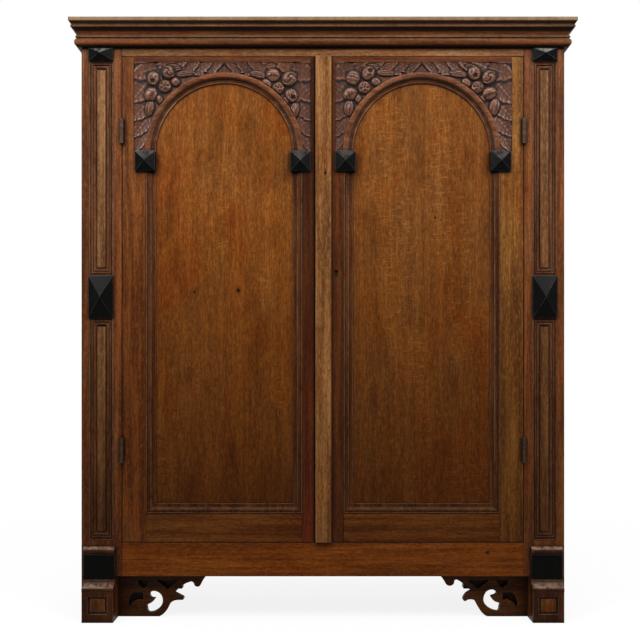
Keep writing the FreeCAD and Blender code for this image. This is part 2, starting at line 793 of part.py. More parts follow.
node(floor_board("bottom_board", "plinth_top - bottom_board_thickness", "bottom_board_thickness"))
SHELVES = ("lower_shelf", "middle_shelf", "upper_shelf")
for shelf in SHELVES:
    node(floor_board(shelf, f"{shelf}_level", "shelf_thickness", Vector(1, 0, 0)))
cleat_tops = [f"{shelf}_level" for shelf in SHELVES] + ["plinth_top - bottom_board_thickness"]
left_cleats = group("left_cleats", *[
    box(f"cleat_{index + 1}", "-side_inner", "post_rear", f"{top} - cleat_height",
        "cleat_width", "side_run", "cleat_height")
    for index, top in enumerate(cleat_tops)])
node(group("shelf_cleats", left_cleats, mirrored("right_cleats", left_cleats)))


# Cornice: a front length and two returns, mitred at the front corners
def cornice_spot(out, rise):
    return Vector(-at.half_width - out * at.cornice_overhang, at.back_face,
                  at.cornice_bottom + rise * at.cornice_height)


cornice_run = swept(
    "cornice_run", feature("cornice_profile", outline((0, 0), CORNICE_SHARES, cornice_spot)),
    path("cornice_path",
         (-at.half_width, at.back_face, at.cornice_bottom),
         (-at.half_width, at.front_face, at.cornice_bottom),
         (at.half_width, at.front_face, at.cornice_bottom),
         (at.half_width, at.back_face, at.cornice_bottom)))


def mitre_zone(name, *corners):
    """An upright block over a plan of straight sides, as tall as the cornice."""
    plan = Part.makePolygon([Vector(x, y, at.cornice_bottom) for x, y in corners + corners[:1]])
    zone = doc.addObject("Part::Extrusion", name)
    zone.Base = feature(name + "_plan", Part.Face(plan))
    zone.DirMode = "Custom"
    zone.Dir = Vector(0, 0, 1)
    zone.Solid = True
    return bind(zone, LengthFwd="cornice_height")


outer_x = at.half_width + at.cornice_overhang
outer_y = at.front_face - at.cornice_overhang
node(shared("cornice_front", cornice_run, mitre_zone(
    "front_zone", (-at.half_width, at.front_face), (-outer_x, outer_y), (outer_x, outer_y),
    (at.half_width, at.front_face))))
cornice_left = node(shared("cornice_return_left", cornice_run, mitre_zone(
    "left_zone", (-at.half_width, at.front_face), (-outer_x, outer_y), (-outer_x, at.back_face),
    (-at.half_width, at.back_face))))
node(mirrored("cornice_return_right", cornice_left))


def extruded(name, face, way, length):
    """A flat face drawn out along one axis."""
    piece = doc.addObject("Part::Extrusion", name)
    piece.Base = feature(name + "_face", face)
    piece.DirMode = "Custom"
    piece.Dir = way
    piece.Solid = True
    return bind(piece, LengthFwd=length)


# Foot blocks, with a torus above and a flare down to a wider face
def foot_spot(out, up):
    return Vector(at.foot_left, at.front_face - out, up)


panel_top = at.foot_panel_bottom + at.foot_panel_height
neck = at.foot_panel_seat + at.foot_panel_thickness
torus_foot = panel_top + at.foot_panel_thickness
foot_profile = (
    ((at.foot_projection, 0),),
    ((at.foot_projection, at.foot_face_height),),
    ((1.09 * at.foot_projection, 1.07 * at.foot_face_height),
     (0.95 * at.foot_projection, 1.14 * at.foot_face_height)),
    ((0.50 * at.foot_projection, 1.20 * at.foot_face_height),
     (neck, at.foot_panel_bottom)),
    ((at.foot_panel_seat, at.foot_panel_bottom),),
    ((at.foot_panel_seat, panel_top),),
    ((0.32 * at.foot_projection, panel_top),),
    ((0.32 * at.foot_projection, torus_foot),),
    ((0.56 * at.foot_projection, (torus_foot + at.foot_height) / 2),
     (0.28 * at.foot_projection, at.foot_height - at.foot_panel_thickness)),
    ((0.14 * at.foot_projection, at.foot_height),),
    ((0, at.foot_height),),
    ((0, 0),),
)
foot_solid = extruded("foot_solid", Part.Face(outline((0, 0), foot_profile, foot_spot)),
                      Vector(1, 0, 0), "foot_width")
tablet_seat = box("tablet_seat", "foot_centre - tablet_recess_width / 2",
                  "front_face - foot_projection", "tablet_level - tablet_recess_height / 2",
                  "tablet_recess_width", "tablet_recess_depth", "tablet_recess_height")
foot_left = node(cut("foot_block_left", foot_solid, tablet_seat))
node(mirrored("foot_block_right", foot_left))
left_foot_panel = box("left_foot_panel", "foot_left",
                      "front_face - foot_panel_seat - foot_panel_thickness", "foot_panel_bottom",
                      "foot_width", "foot_panel_thickness", "foot_panel_height")
node(group("foot_panels", left_foot_panel, mirrored("right_foot_panel", left_foot_panel)))
tablet_floor = "front_face - foot_projection + tablet_recess_depth"
left_tablet = joined(
    "left_tablet",
    box("tablet_block", "foot_centre - tablet_width / 2", f"{tablet_floor} - tablet_base",
        "tablet_level - tablet_height / 2", "tablet_width", "tablet_base", "tablet_height"),
    pyramid("tablet_point", "foot_centre", f"{tablet_floor} - tablet_base", "tablet_level",
            "tablet_width", "tablet_rise", "tablet_height"))
node(group("foot_tablets", left_tablet, mirrored("right_tablet", left_tablet)))


# Pierced scroll brackets behind the plinth rail
def bracket(name, side, tables):
    """One sawn bracket: its scroll, the laps behind post and rail, and the piercings."""
    def spot(across, up):
        return Vector(side * (at.opening_half - across * at.bracket_reach), at.post_rear,
                      up * at.plinth_bottom)

    lap = -at.bracket_post_lap / at.bracket_reach
    over = 1 + at.bracket_rail_lap / at.plinth_bottom
    hidden = (((lap, 0),), ((lap, over),), ((1, over),), ((1, 1),))
    rims = [outline((1, 1), tables["outer"] + hidden, spot)]
    for hole in ("comma", "wedge", "small", "hook"):
        stretches = tables[hole]
        rims.append(outline(stretches[-1][-1], stretches, spot))
    face = Part.Face(rims[0]).cut([Part.Face(rim) for rim in rims[1:]])
    return extruded(name, face, Vector(0, 1, 0), "bracket_thickness")


node(bracket("bracket_left", -1, LEFT_BRACKET_SHARES))
node(bracket("bracket_right", 1, RIGHT_BRACKET_SHARES))
glue_block_drop = "plinth_bottom - glue_block_drop"
left_glue_blocks = group(
    "left_glue_blocks",
    box("rail_glue_block", "-opening_half - bracket_post_lap", "post_rear + bracket_thickness",
        glue_block_drop, "glue_block_reach", "glue_block_depth", "glue_block_drop + bracket_rail_lap"),
    box("post_glue_block", "-opening_half - bracket_post_lap", "post_rear + bracket_thickness",
        "glue_block_foot", "glue_block_width", "glue_block_depth",
        f"{glue_block_drop} - glue_block_foot"))
node(group("glue_blocks", left_glue_blocks, mirrored("right_glue_blocks", left_glue_blocks)))


# Doors: the left one, whose pieces the right one mirrors
left_panel = joined(
    "left_door_panel",
    box("panel_field", "-panel_outer - panel_tongue", "panel_front", "door_rail_top - panel_tongue",
        "panel_outer - meeting_sight + 2 * panel_tongue", "panel_thickness",
        "spring_level - door_rail_top + panel_tongue"),
    peg("panel_arch", "-arch_centre", "panel_front", "spring_level", "head_radius + panel_tongue",
        "panel_thickness"))
tenon_front = "front_face + (door_thickness - tenon_thickness) / 2"
rail_tenons = box("rail_tenons", "-panel_outer - tenon_length", tenon_front,
                  "door_bottom + tenon_shoulder", "panel_outer - meeting_sight + 2 * tenon_length",
                  "tenon_thickness", "bottom_rail_height - 2 * tenon_shoulder")
head_tongues = box("head_tongues", "-head_outer - panel_tongue", tenon_front,
                   "spring_level + tenon_shoulder", "head_outer - head_inner + 2 * panel_tongue",
                   "tenon_thickness", "door_top - spring_level - 2 * tenon_shoulder")


def stile(name, x, wide, upper_x, upper_wide, *tools):
    """A door stile, narrower beside the head, with its mortises and groove."""
    whole = joined(
        name + "_solid",
        box(name + "_lower", x, "front_face", "door_bottom", wide, "door_thickness",
            "spring_level - door_bottom"),
        box(name + "_upper", upper_x, "front_face", "spring_level", upper_wide, "door_thickness",
            "door_top - spring_level"))
    return node(cut(name, whole, *tools))


left_hinge_stile = stile("left_door_hinge_stile", "-door_edge", "hinge_stile_width", "-door_edge",
                         "door_edge - head_outer", left_panel, rail_tenons, head_tongues,
                         *door_plates)
stile("left_door_meeting_stile", "-meeting_sight", "meeting_sight - left_door_end",
      "-head_inner", "head_inner - left_door_end", left_panel, rail_tenons, head_tongues)
rail_bar = box("rail_bar", "-panel_outer", "front_face", "door_bottom",
               "panel_outer - meeting_sight", "door_thickness", "bottom_rail_height")
left_bottom_rail = node(cut("left_door_bottom_rail",
                            joined("rail_with_tenons", rail_bar, rail_tenons), left_panel))
head_bar = box("head_bar", "-head_outer", "front_face", "spring_level",
               "head_outer - head_inner", "door_thickness", "door_top - spring_level")
head_ground = box("head_ground", "-head_outer", "front_face", "spring_level",
                  "head_outer - head_inner", "ground_depth",
                  "door_top - head_fillet_height - spring_level")
head_opening = peg("head_opening", "-arch_centre", "front_face", "spring_level", "head_radius",
                   "door_thickness")
left_head = node(cut("left_door_head", joined("head_with_tongues", head_bar, head_tongues),
                     head_ground, head_opening, left_panel))
node(left_panel)


# Mouldings round the panel: three straight sides, then the arch
def moulding_spot(across, depth):
    return Vector(-at.panel_outer + across * at.moulding_width,
                  at.front_face + depth * at.panel_recess, at.boss_bottom)


left_moulding = node(swept(
    "left_door_moulding",
    feature("moulding_profile", outline((0, 1), MOULDING_SHARES, moulding_spot)),
    path("moulding_path",
         (-at.panel_outer, at.panel_front, at.boss_bottom),
         (-at.panel_outer, at.panel_front, at.door_rail_top),
         (-at.meeting_sight, at.panel_front, at.door_rail_top),
         (-at.meeting_sight, at.panel_front, at.boss_bottom))))


def arch_spot(radius, y):
    return Vector(-at.arch_centre + radius, y, at.spring_level)


def cove_point(across, depth):
    return at.arch_radius + across * at.cove_width, at.front_face + depth * at.panel_recess


crest = at.front_face - at.archivolt_rise
arch_profile = tuple(tuple(cove_point(*point) for point in stretch) for stretch in COVE_SHARES) + (
    ((at.head_radius, crest + 0.4 * at.archivolt_rise),),
    ((at.head_radius + 0.5 * at.archivolt_width, crest),
     (at.archivolt_radius, crest + 0.6 * at.archivolt_rise)),
    ((at.archivolt_radius, at.ground_face),),
    ((at.head_radius, at.ground_face),),
    ((at.head_radius, at.panel_front),),
    ((at.arch_radius, at.panel_front),),
)
left_archivolt = doc.addObject("Part::Revolution", "left_door_archivolt")
left_archivolt.Source = feature("arch_profile", Part.Face(
    outline((at.arch_radius, at.panel_front), arch_profile, arch_spot)))
left_archivolt.Base = Vector(-at.arch_centre, 0, at.spring_level)
left_archivolt.Axis = Vector(0, -1, 0)
left_archivolt.Angle = 180
node(left_archivolt)


# Carving: leaves on the sunk ground with rounded fruits on them, in both corners
def carved_corner(name, side):
    """The leaves and the fruits of one corner; side is -1 for the outer and 1 for the inner."""
    def spot(across, up):
        return Vector(-at.arch_centre + side * across * at.arch_radius, at.ground_face,
                      at.spring_level + up * at.arch_radius)

    leaves = extruded(name + "_leaves", Part.Face(outline((1.18, 0.05), LEAF_SHARES, spot)),
                      Vector(0, -1, 0), "leaf_depth")
    pieces = [leaves]
    rise = "(fruit_depth - leaf_depth)"
    for index, (across, up, share) in enumerate(FRUIT_SHARES, start=1):
        fruit = doc.addObject("Part::Sphere", f"{name}_fruit_{index}")
        ball = f"(({share} * arch_radius) ^ 2 + {rise} ^ 2) / (2 * {rise})"
        bind(fruit, Radius=ball)
        place(fruit, f"-arch_centre + {side * across} * arch_radius",
              f"ground_face - fruit_depth + {ball}", f"spring_level + {up} * arch_radius")
        pieces.append(fruit)
    return joined(name, *pieces)


carving_zone = cut(
    "carving_zone",
    box("carving_field", "-head_outer", "ground_face - fruit_depth", "spring_level",
        "head_outer - head_inner", "fruit_depth", "door_top - head_fillet_height - spring_level"),
    peg("carving_arch", "-arch_centre", "ground_face - fruit_depth", "spring_level",
        "archivolt_radius", "fruit_depth"))
left_carving = node(shared(
    "left_door_carving",
    group("carved_corners", carved_corner("outer_corner", -1), carved_corner("inner_corner", 1)),
    carving_zone))


def door_boss(name, centre, lug_x, lug_wide):
    """A boss at the spring of the arch, with a lug that fills the moulding's place behind it."""
    lug = box(name + "_lug", lug_x, "front_face", "boss_bottom", lug_wide, "panel_recess",
              "door_boss_size")
    return joined(name + "_with_lug", lug, boss(
        name, f"-{centre}", "(spring_level - door_boss_size / 2)", "door_boss_size",
        "door_boss_size", "door_boss_base", "door_boss_rise"))


left_bosses = node(group(
    "left_door_bosses",
    door_boss("outer_boss", "outer_boss_centre", "-panel_outer", "moulding_width"),
    door_boss("inner_boss", "inner_boss_centre", "-inner_boss_centre - door_boss_size / 2",
              "inner_boss_centre + door_boss_size / 2 - meeting_sight")))
left_leaves = node(group("left_door_hinge_leaves", *door_leaves))
for piece in (left_hinge_stile, left_bottom_rail, left_head, left_panel, left_moulding,
              left_archivolt, left_carving, left_bosses, left_leaves):
    node(mirrored(piece.Name.replace("left", "right"), piece))

# The right door's meeting stile with its keyhole, the strip over it and the lock behind it
keyhole = joined(
    "keyhole",
    peg("keyhole_eye", "keyhole_centre", "front_face", "keyhole_level", "keyhole_radius",
        "door_thickness"),
    box("keyhole_slot", "keyhole_centre - keyhole_slot_width / 2", "front_face",
        "keyhole_level - keyhole_slot_drop", "keyhole_slot_width", "door_thickness",
        "keyhole_slot_drop"))
stile("right_door_meeting_stile", "-meeting_edge", "meeting_edge + meeting_sight",
      "-meeting_edge", "meeting_edge + head_inner", mirrored("right_panel_tool", left_panel),
      mirrored("right_rail_tenons", rail_tenons), mirrored("right_head_tongues", head_tongues),
      keyhole)
node(board("meeting_strip", "-meeting_edge", "front_face - meeting_strip_thickness", "door_bottom",
           "meeting_strip_width", "meeting_strip_thickness", "door_height", Vector(0, 0, 1),
           "meeting_strip_radius"))
case_blank = box("case_blank", "lock_left", "door_rear", "lock_bottom",
                 "lock_width", "lock_depth", "lock_height")
bolt_channel = box("bolt_channel", "lock_left", "lock_bolt_front - bolt_clearance",
                   "lock_bolt_bottom - bolt_clearance", "lock_width - lock_wall",
                   "lock_bolt_thickness + 2 * bolt_clearance",
                   "lock_bolt_height + 2 * bolt_clearance")
key_chamber = box("key_chamber", "keyhole_centre - key_chamber_width / 2", "door_rear",
                  "keyhole_level - key_chamber_drop", "key_chamber_width",
                  "lock_depth - lock_wall", "key_chamber_drop + lock_bolt_rise")
node(cut("lock_case", case_blank, bolt_channel, key_chamber))
bolt_bar = box("bolt_bar", "lock_left", "lock_bolt_front", "lock_bolt_bottom",
               "lock_bolt_length", "lock_bolt_thickness", "lock_bolt_height")
talon = box("talon", "keyhole_centre - talon_width", "lock_bolt_front", "lock_bolt_bottom",
            "talon_width", "lock_bolt_thickness", "talon_height")
node(cut("lock_bolt", bolt_bar, talon))

# The keep on the left door's edge
keep_blank = box("keep_blank", "keep_right - keep_width", "door_rear",
                 "lock_bolt_bottom - keep_clearance - lock_wall", "keep_width", "lock_depth",
                 "lock_bolt_height + 2 * (keep_clearance + lock_wall)")
keep_pocket = box("keep_pocket", "keep_right - keep_width + lock_wall",
                  "lock_bolt_front - keep_clearance", "lock_bolt_bottom - keep_clearance",
                  "keep_width - lock_wall", "lock_bolt_thickness + 2 * keep_clearance",
                  "lock_bolt_height + 2 * keep_clearance")
node(cut("lock_keep", keep_blank, keep_pocket))

# Shoot bolts on the left door: a plate with two guides, and the bolt with its knob
guides = []
for name, foot, bolt_foot in (
        ("upper", "door_top - shoot_plate_length",
         "door_top - shoot_bolt_inset - shoot_bolt_length"),
        ("lower", "door_bottom", "door_bottom + shoot_bolt_inset")):
    parts = [box(f"{name}_plate", "shoot_centre - shoot_plate_width / 2", "door_rear", foot,
                 "shoot_plate_width", "shoot_plate_thickness", "shoot_plate_length")]
    guide_wide = "(shoot_bolt_width + 2 * (bolt_clearance + shoot_plate_thickness))"
    for index, guide_foot in enumerate((
            f"{foot} + shoot_guide_inset",
            f"{foot} + shoot_plate_length - shoot_guide_inset - shoot_guide_height")):
        parts.append(box(f"{name}_guide_{index + 1}", f"shoot_centre - {guide_wide} / 2",
                         "door_rear + shoot_plate_thickness", guide_foot, guide_wide,
                         "shoot_guide_depth", "shoot_guide_height"))
    channel = box(f"{name}_channel", "shoot_centre - shoot_bolt_width / 2 - bolt_clearance",
                  "shoot_bolt_front - bolt_clearance", foot,
                  "shoot_bolt_width + 2 * bolt_clearance", "shoot_bolt_depth + 2 * bolt_clearance",
                  "shoot_plate_length")
    guides.append(cut(f"{name}_guides", joined(f"{name}_guide_solid", *parts), channel))
    node(joined(f"{name}_bolt",
                box(f"{name}_bolt_bar", "shoot_centre - shoot_bolt_width / 2", "shoot_bolt_front",
                    bolt_foot, "shoot_bolt_width", "shoot_bolt_depth", "shoot_bolt_length"),
                peg(f"{name}_knob", "shoot_centre", "shoot_bolt_front + shoot_bolt_depth",
                    f"{foot} + shoot_plate_length / 2", "shoot_knob_radius", "shoot_knob_length")))
node(group("shoot_bolt_guides", *guides))

doc.recompute()
failed = [item.Label for item in doc.Objects if {"Invalid", "Error"} & set(item.State)]
failed += [piece.Label for piece in nodes if piece.Shape.isNull() or not piece.Shape.isValid()]
if failed:
    raise RuntimeError("failed: " + ", ".join(failed))
os.makedirs("parts", exist_ok=True)
for piece in nodes:
    piece.Shape.exportStep(f"parts/{piece.Label}.step")
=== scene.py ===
import math

import bpy
import numpy as np
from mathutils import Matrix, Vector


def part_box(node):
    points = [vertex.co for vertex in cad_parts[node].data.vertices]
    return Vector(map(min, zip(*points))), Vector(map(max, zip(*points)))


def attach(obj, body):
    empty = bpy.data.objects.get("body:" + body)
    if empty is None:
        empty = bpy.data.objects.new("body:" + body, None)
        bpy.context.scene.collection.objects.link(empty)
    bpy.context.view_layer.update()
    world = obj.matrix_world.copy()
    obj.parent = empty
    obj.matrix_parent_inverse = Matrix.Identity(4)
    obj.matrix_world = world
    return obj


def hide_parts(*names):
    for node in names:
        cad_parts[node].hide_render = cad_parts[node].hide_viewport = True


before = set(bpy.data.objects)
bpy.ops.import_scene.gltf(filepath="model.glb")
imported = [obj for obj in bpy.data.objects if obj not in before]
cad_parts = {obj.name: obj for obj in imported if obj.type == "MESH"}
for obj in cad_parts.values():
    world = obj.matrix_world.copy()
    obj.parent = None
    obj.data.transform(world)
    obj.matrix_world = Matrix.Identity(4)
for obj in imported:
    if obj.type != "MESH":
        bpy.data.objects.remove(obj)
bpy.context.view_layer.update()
MM = 0.001

# Corner posts and rails
# Stained oak, sawn on the quarter and mortised together. Long fibres run with the piece, open
# pores are filled with old dark wax, and the arrises are rubbed paler by a century of hands.

POST_WOOD = (0.142, 0.042, 0.010)
REAR_POST_WOOD = (0.095, 0.029, 0.007)
TOP_RAIL_WOOD = (0.215, 0.090, 0.032)
PLINTH_WOOD = (0.135, 0.033, 0.003)
PLINTH_KNOTS = ((494, 204, 5, 4),)


def add(tree, kind, inputs=None, **settings):
    """One shader node. An input that is a socket is linked, and any other is the socket's value."""
    made = tree.nodes.new("ShaderNode" + kind)
    for name, value in settings.items():
        setattr(made, name, value)
    for key, value in (inputs or {}).items():
        if isinstance(value, bpy.types.NodeSocket):
            tree.links.new(value, made.inputs[key])
        else:
            made.inputs[key].default_value = value
    return made


def effect(name, inputs, outputs):
    """An empty node group with named sockets: its tree, what it takes and where its results go."""
    tree = bpy.data.node_groups.new(name, "ShaderNodeTree")
    for label, (kind, value) in inputs.items():
        socket = tree.interface.new_socket(label, in_out="INPUT", socket_type="NodeSocket" + kind)
        if value is not None:
            socket.default_value = value
    for label, kind in outputs.items():
        tree.interface.new_socket(label, in_out="OUTPUT", socket_type="NodeSocket" + kind)
    given = tree.nodes.new("NodeGroupInput").outputs
    return tree, given, tree.nodes.new("NodeGroupOutput").inputs


def stretched_noise(tree, place, across, along, detail=4.0, roughness=0.55, distortion=0.0):
    """Noise drawn out along the grain: so many features per metre across it and along it."""
    scaled = add(tree, "VectorMath", {0: place, 1: (1, 1, along / across)}, operation="MULTIPLY")
    return add(tree, "TexNoise", {
        "Vector": scaled.outputs[0], "Scale": across, "Detail": detail, "Roughness": roughness,
        "Distortion": distortion}).outputs["Fac"]


def remap(tree, value, low, high, to_low=0.0, to_high=1.0):
    """A value's range low to high carried to another range, and held at its ends."""
    return add(tree, "MapRange", {
        "Value": value, "From Min": low, "From Max": high, "To Min": to_low,
        "To Max": to_high}).outputs["Result"]


def blend_colour(tree, share, first, second, mode="MIX"):
    """Two colours mixed by a share."""
    mixed = add(tree, "Mix", data_type="RGBA", blend_type=mode)
    for index, value in ((0, share), (6, first), (7, second)):
        if isinstance(value, bpy.types.NodeSocket):
            tree.links.new(value, mixed.inputs[index])
        else:
            mixed.inputs[index].default_value = value
    return mixed.outputs[2]


def calculate(tree, operation, *values):
    """One sum on numbers, kept between nought and one."""
    made = add(tree, "Math", dict(enumerate(values)), operation=operation, use_clamp=True)
    return made.outputs[0]


# Noises of the wood: features per metre across the grain and along it, detail, roughness, twist
OAK_NOISES = {
    "patches": (7.0, 1.6, 3.0, 0.55, 0.4), "streaks": (60.0, 2.2, 7.0, 0.62, 0.25),
    "fibres": (330.0, 14.0, 5.0, 0.7, 0.0), "pores": (900.0, 60.0, 3.0, 0.55, 0.0),
    "mottle": (190.0, 50.0, 6.0, 0.75, 0.0), "speckle": (360.0, 120.0, 3.0, 0.6, 0.0),
    "flecks": (34.0, 150.0, 3.0, 0.6, 1.2), "clouds": (8.0, 3.5, 6.0, 0.62, 0.5),
    "dims": (16.0, 5.0, 5.0, 0.6, 0.4),
}
# Layers on the grain, the lowest first: noise, where it starts and is full, its most, its colour
OAK_LAYERS = (
    ("mottle", 0.48, 0.64, 0.55, "Light"), ("mottle", 0.50, 0.34, 0.5, "Dark"),
    ("speckle", 0.46, 0.32, 0.8, "Dark"), ("fibres", 0.54, 0.36, 0.5, "Dark"),
    ("pores", 0.42, 0.30, 0.75, "Dark"),
)
# Clouds of old stain: noise, where it starts and is full, and its tint
OAK_CLOUDS = (
    ("clouds", 0.50, 0.62, (0.95, 0.74, 0.62, 1)), ("clouds", 0.49, 0.38, (0.90, 0.97, 1.25, 1)),
    ("dims", 0.50, 0.36, (0.66, 0.62, 0.60, 1)),
)
BLACK = (0, 0, 0, 1)


def build_oak_effect():
    """Oak: broad tone patches, growth streaks, fine fibres, dark pores and pale ray flecks."""
    tree, given, result = effect("oak_figure", {
        "Vector": ("Vector", None), "Dark": ("Color", BLACK), "Middle": ("Color", BLACK),
        "Light": ("Color", BLACK), "Streaks": ("Float", 1.0), "Flecks": ("Float", 0.0),
        "Clouds": ("Float", 0.6)}, {"Color": "Color", "Roughness": "Float", "Height": "Float"})
    noise = {label: stretched_noise(tree, given["Vector"], *settings)
             for label, settings in OAK_NOISES.items()}
    tone = calculate(tree, "ADD", remap(tree, noise["streaks"], 0.37, 0.65, 0.0, 0.62),
                     remap(tree, noise["patches"], 0.3, 0.7, 0.0, 0.38))
    shade = calculate(tree, "MULTIPLY", given["Streaks"], remap(tree, tone, 0.62, 0.12))
    gleam = calculate(tree, "MULTIPLY", given["Streaks"], remap(tree, tone, 0.42, 0.95))
    colour = blend_colour(tree, shade, given["Middle"], given["Dark"])
    colour = blend_colour(tree, gleam, colour, given["Light"])
    for label, start, full, most, laid in OAK_LAYERS:
        share = remap(tree, noise[label], start, full, 0.0, most)
        colour = blend_colour(tree, share, colour, given[laid])
    figured = calculate(tree, "MULTIPLY", given["Flecks"], remap(tree, noise["flecks"], 0.55, 0.62))
    figured = calculate(tree, "MULTIPLY", figured, remap(tree, noise["patches"], 0.50, 0.56))
    colour = blend_colour(tree, figured, colour, given["Light"])
    for label, start, full, tint in OAK_CLOUDS:
        share = calculate(tree, "MULTIPLY", given["Clouds"], remap(tree, noise[label], start, full))
        colour = blend_colour(tree, share, colour, tint, "MULTIPLY")
    tree.links.new(colour, result["Color"])
    tree.links.new(remap(tree, noise["fibres"], 0.3, 0.7, 0.52, 0.34), result["Roughness"])
    height = calculate(tree, "SUBTRACT", remap(tree, noise["fibres"], 0.3, 0.7, 0.3, 0.8),
                       remap(tree, noise["pores"], 0.42, 0.30, 0.0, 0.3))
    tree.links.new(height, result["Height"])
    return tree


# Each mark of age and of painted light starts at the first value of its pair and is full at the second
ARRIS_COSINE = (0.99, 0.86)
TOP_RISE = (0.40, 0.85)
UNDERSIDE_RISE = (-0.36, -0.64)
SKY_SEEN = (0.94, 0.52)
FLOOR_SHADE_HEIGHT = (0.1, 1.25)


def build_wear_and_light_effect():
    """Age and painted light: dark wax with painted shade where surfaces meet, painted shade
    underneath, pale rubbed arrises and tops that are partly painted highlights, and painted shade at
    the foot.

    The angle between the true normal and one rounded over the radius finds the arrises, how
    much of the sky a point sees finds the hollows, the normal's rise tells tops from undersides,
    and height above the floor gives the painted shade at the foot.
    """
    tree, given, result = effect("wear_and_painted_light", {
        "Color": ("Color", BLACK), "Vector": ("Vector", None), "Wear And Light Colour": ("Color", (1, 1, 1, 1)),
        "Wax And Shade": ("Color", BLACK), "Edge Radius": ("Float", 0.002), "Edge Wear And Light": ("Float", 0.5),
        "Hollow Depth": ("Float", 0.012), "Hollow Wax And Shade": ("Float", 0.8), "Floor Shade": ("Float", 0.6),
        "Upper Wear And Highlight": ("Float", 0.0), "Underside Shade": ("Float", 0.0), "Worn Level": ("Float", 99.0)},
        {"Color": "Color", "Edge": "Float", "Normal": "Vector"})
    rounded = add(tree, "Bevel", {"Radius": given["Edge Radius"]}, samples=4).outputs[0]
    true = add(tree, "NewGeometry").outputs["True Normal"]
    angle = add(tree, "VectorMath", {0: rounded, 1: true}, operation="DOT_PRODUCT").outputs["Value"]
    rubs = stretched_noise(tree, given["Vector"], 55.0, 22.0, detail=6.0, roughness=0.75)
    # Arrises take the given colour: pale rubbing with painted highlights on mouldings, grime with
    # painted shade on flat members
    edge = calculate(tree, "MULTIPLY", remap(tree, angle, *ARRIS_COSINE),
                     remap(tree, rubs, 0.34, 0.54))
    edge = calculate(tree, "MULTIPLY", edge, given["Edge Wear And Light"])
    upward = add(tree, "SeparateXYZ", {0: rounded}).outputs["Z"]
    # Faces that look up get painted highlights, broken by rubbing
    upper = calculate(tree, "MULTIPLY", remap(tree, upward, *TOP_RISE),
                      remap(tree, rubs, 0.36, 0.60))
    edge = calculate(tree, "MAXIMUM", edge, calculate(tree, "MULTIPLY", upper, given["Upper Wear And Highlight"]))
    level = add(tree, "SeparateXYZ", {0: given["Vector"]}).outputs["Z"]
    brow = calculate(tree, "GREATER_THAN", level, given["Worn Level"])
    brow = calculate(tree, "MULTIPLY", brow, remap(tree, rubs, 0.3, 0.58, 0.3, 0.75))
    edge = calculate(tree, "MAXIMUM", edge, brow)
    # Hollows get dark wax and painted shade
    seen = add(tree, "AmbientOcclusion", {"Distance": given["Hollow Depth"]}, samples=6)
    hollow = calculate(tree, "MULTIPLY", remap(tree, seen.outputs["AO"], *SKY_SEEN),
                       given["Hollow Wax And Shade"])
    # Faces that look down get painted shade
    under = calculate(tree, "MULTIPLY", remap(tree, upward, *UNDERSIDE_RISE), given["Underside Shade"])
    hollow = calculate(tree, "MAXIMUM", hollow, under)
    colour = blend_colour(tree, edge, given["Color"], given["Wear And Light Colour"])
    # Lower parts get painted shade, darker towards the floor
    floor_darkening = remap(tree, level, *FLOOR_SHADE_HEIGHT, given["Floor Shade"], 1.0)
    floor_darkening_colour = add(tree, "CombineColor", {
        "Red": floor_darkening, "Green": calculate(tree, "POWER", floor_darkening, 1.15),
        "Blue": calculate(tree, "POWER", floor_darkening, 1.4)}).outputs[0]
    colour = blend_colour(tree, 1.0, colour, floor_darkening_colour, "MULTIPLY")
    colour = blend_colour(tree, hollow, colour, given["Wax And Shade"])
    tree.links.new(colour, result["Color"])
    tree.links.new(edge, result["Edge"])
    tree.links.new(rounded, result["Normal"])
    return tree


STAIN_COLOUR = (0.02, 0.006, 0.002, 1)
KNOT_COLOUR = (0.004, 0.002, 0.001, 1)


def build_spot_effect():
    """A knot or a nail hole on the front: a dark oval round a place, ringed by a fainter stain.

    The distance from the centre, in half widths and half heights, is made ragged by noise.
    """
    tree, given, result = effect("dark_spot", {
        "Color": ("Color", BLACK), "Vector": ("Vector", None), "Centre": ("Vector", None),
        "Spread": ("Vector", None)}, {"Color": "Color"})
    flat = add(tree, "VectorMath", {0: given["Vector"], 1: (1, 0, 1)}, operation="MULTIPLY")
    away = add(tree, "VectorMath", {0: flat.outputs[0], 1: given["Centre"]}, operation="SUBTRACT")
    away = add(tree, "VectorMath", {0: away.outputs[0], 1: given["Spread"]}, operation="MULTIPLY")
    reach = add(tree, "VectorMath", {0: away.outputs[0]}, operation="LENGTH").outputs["Value"]
    rough = stretched_noise(tree, flat.outputs[0], 260.0, 160.0)
    ragged = calculate(tree, "ADD", calculate(tree, "MULTIPLY", reach, 0.25),
                       calculate(tree, "MULTIPLY", rough, 0.16))
    stain = remap(tree, ragged, 0.72, 0.34, 0.0, 0.45)
    colour = blend_colour(tree, stain, given["Color"], STAIN_COLOUR)
    colour = blend_colour(tree, remap(tree, ragged, 0.36, 0.24), colour, KNOT_COLOUR)
    tree.links.new(colour, result["Color"])
    return tree


OAK_FIGURE = build_oak_effect()
SPOT = build_spot_effect()
WEAR_AND_LIGHT = build_wear_and_light_effect()
# How the log is turned so that its fibres run along an axis
ALONG_Z = (0.0, 0.0, 0.0)
ALONG_X = (0.0, math.pi / 2, 0.0)
ALONG_Y = (math.pi / 2, 0.0, 0.0)
# Dark wax, which is also the colour of the painted shade in hollows and underneath
WAX_AND_SHADE = (0.010, 0.004, 0.002)
# The wood's dark and light lines, as shares of its middle tone
TONE_SHARES = {"dark": (0.40, 0.34, 0.30), "middle": (1.0, 1.0, 1.0), "light": (1.75, 2.05, 2.4)}
GRAIN_DEPTH = 0.0006


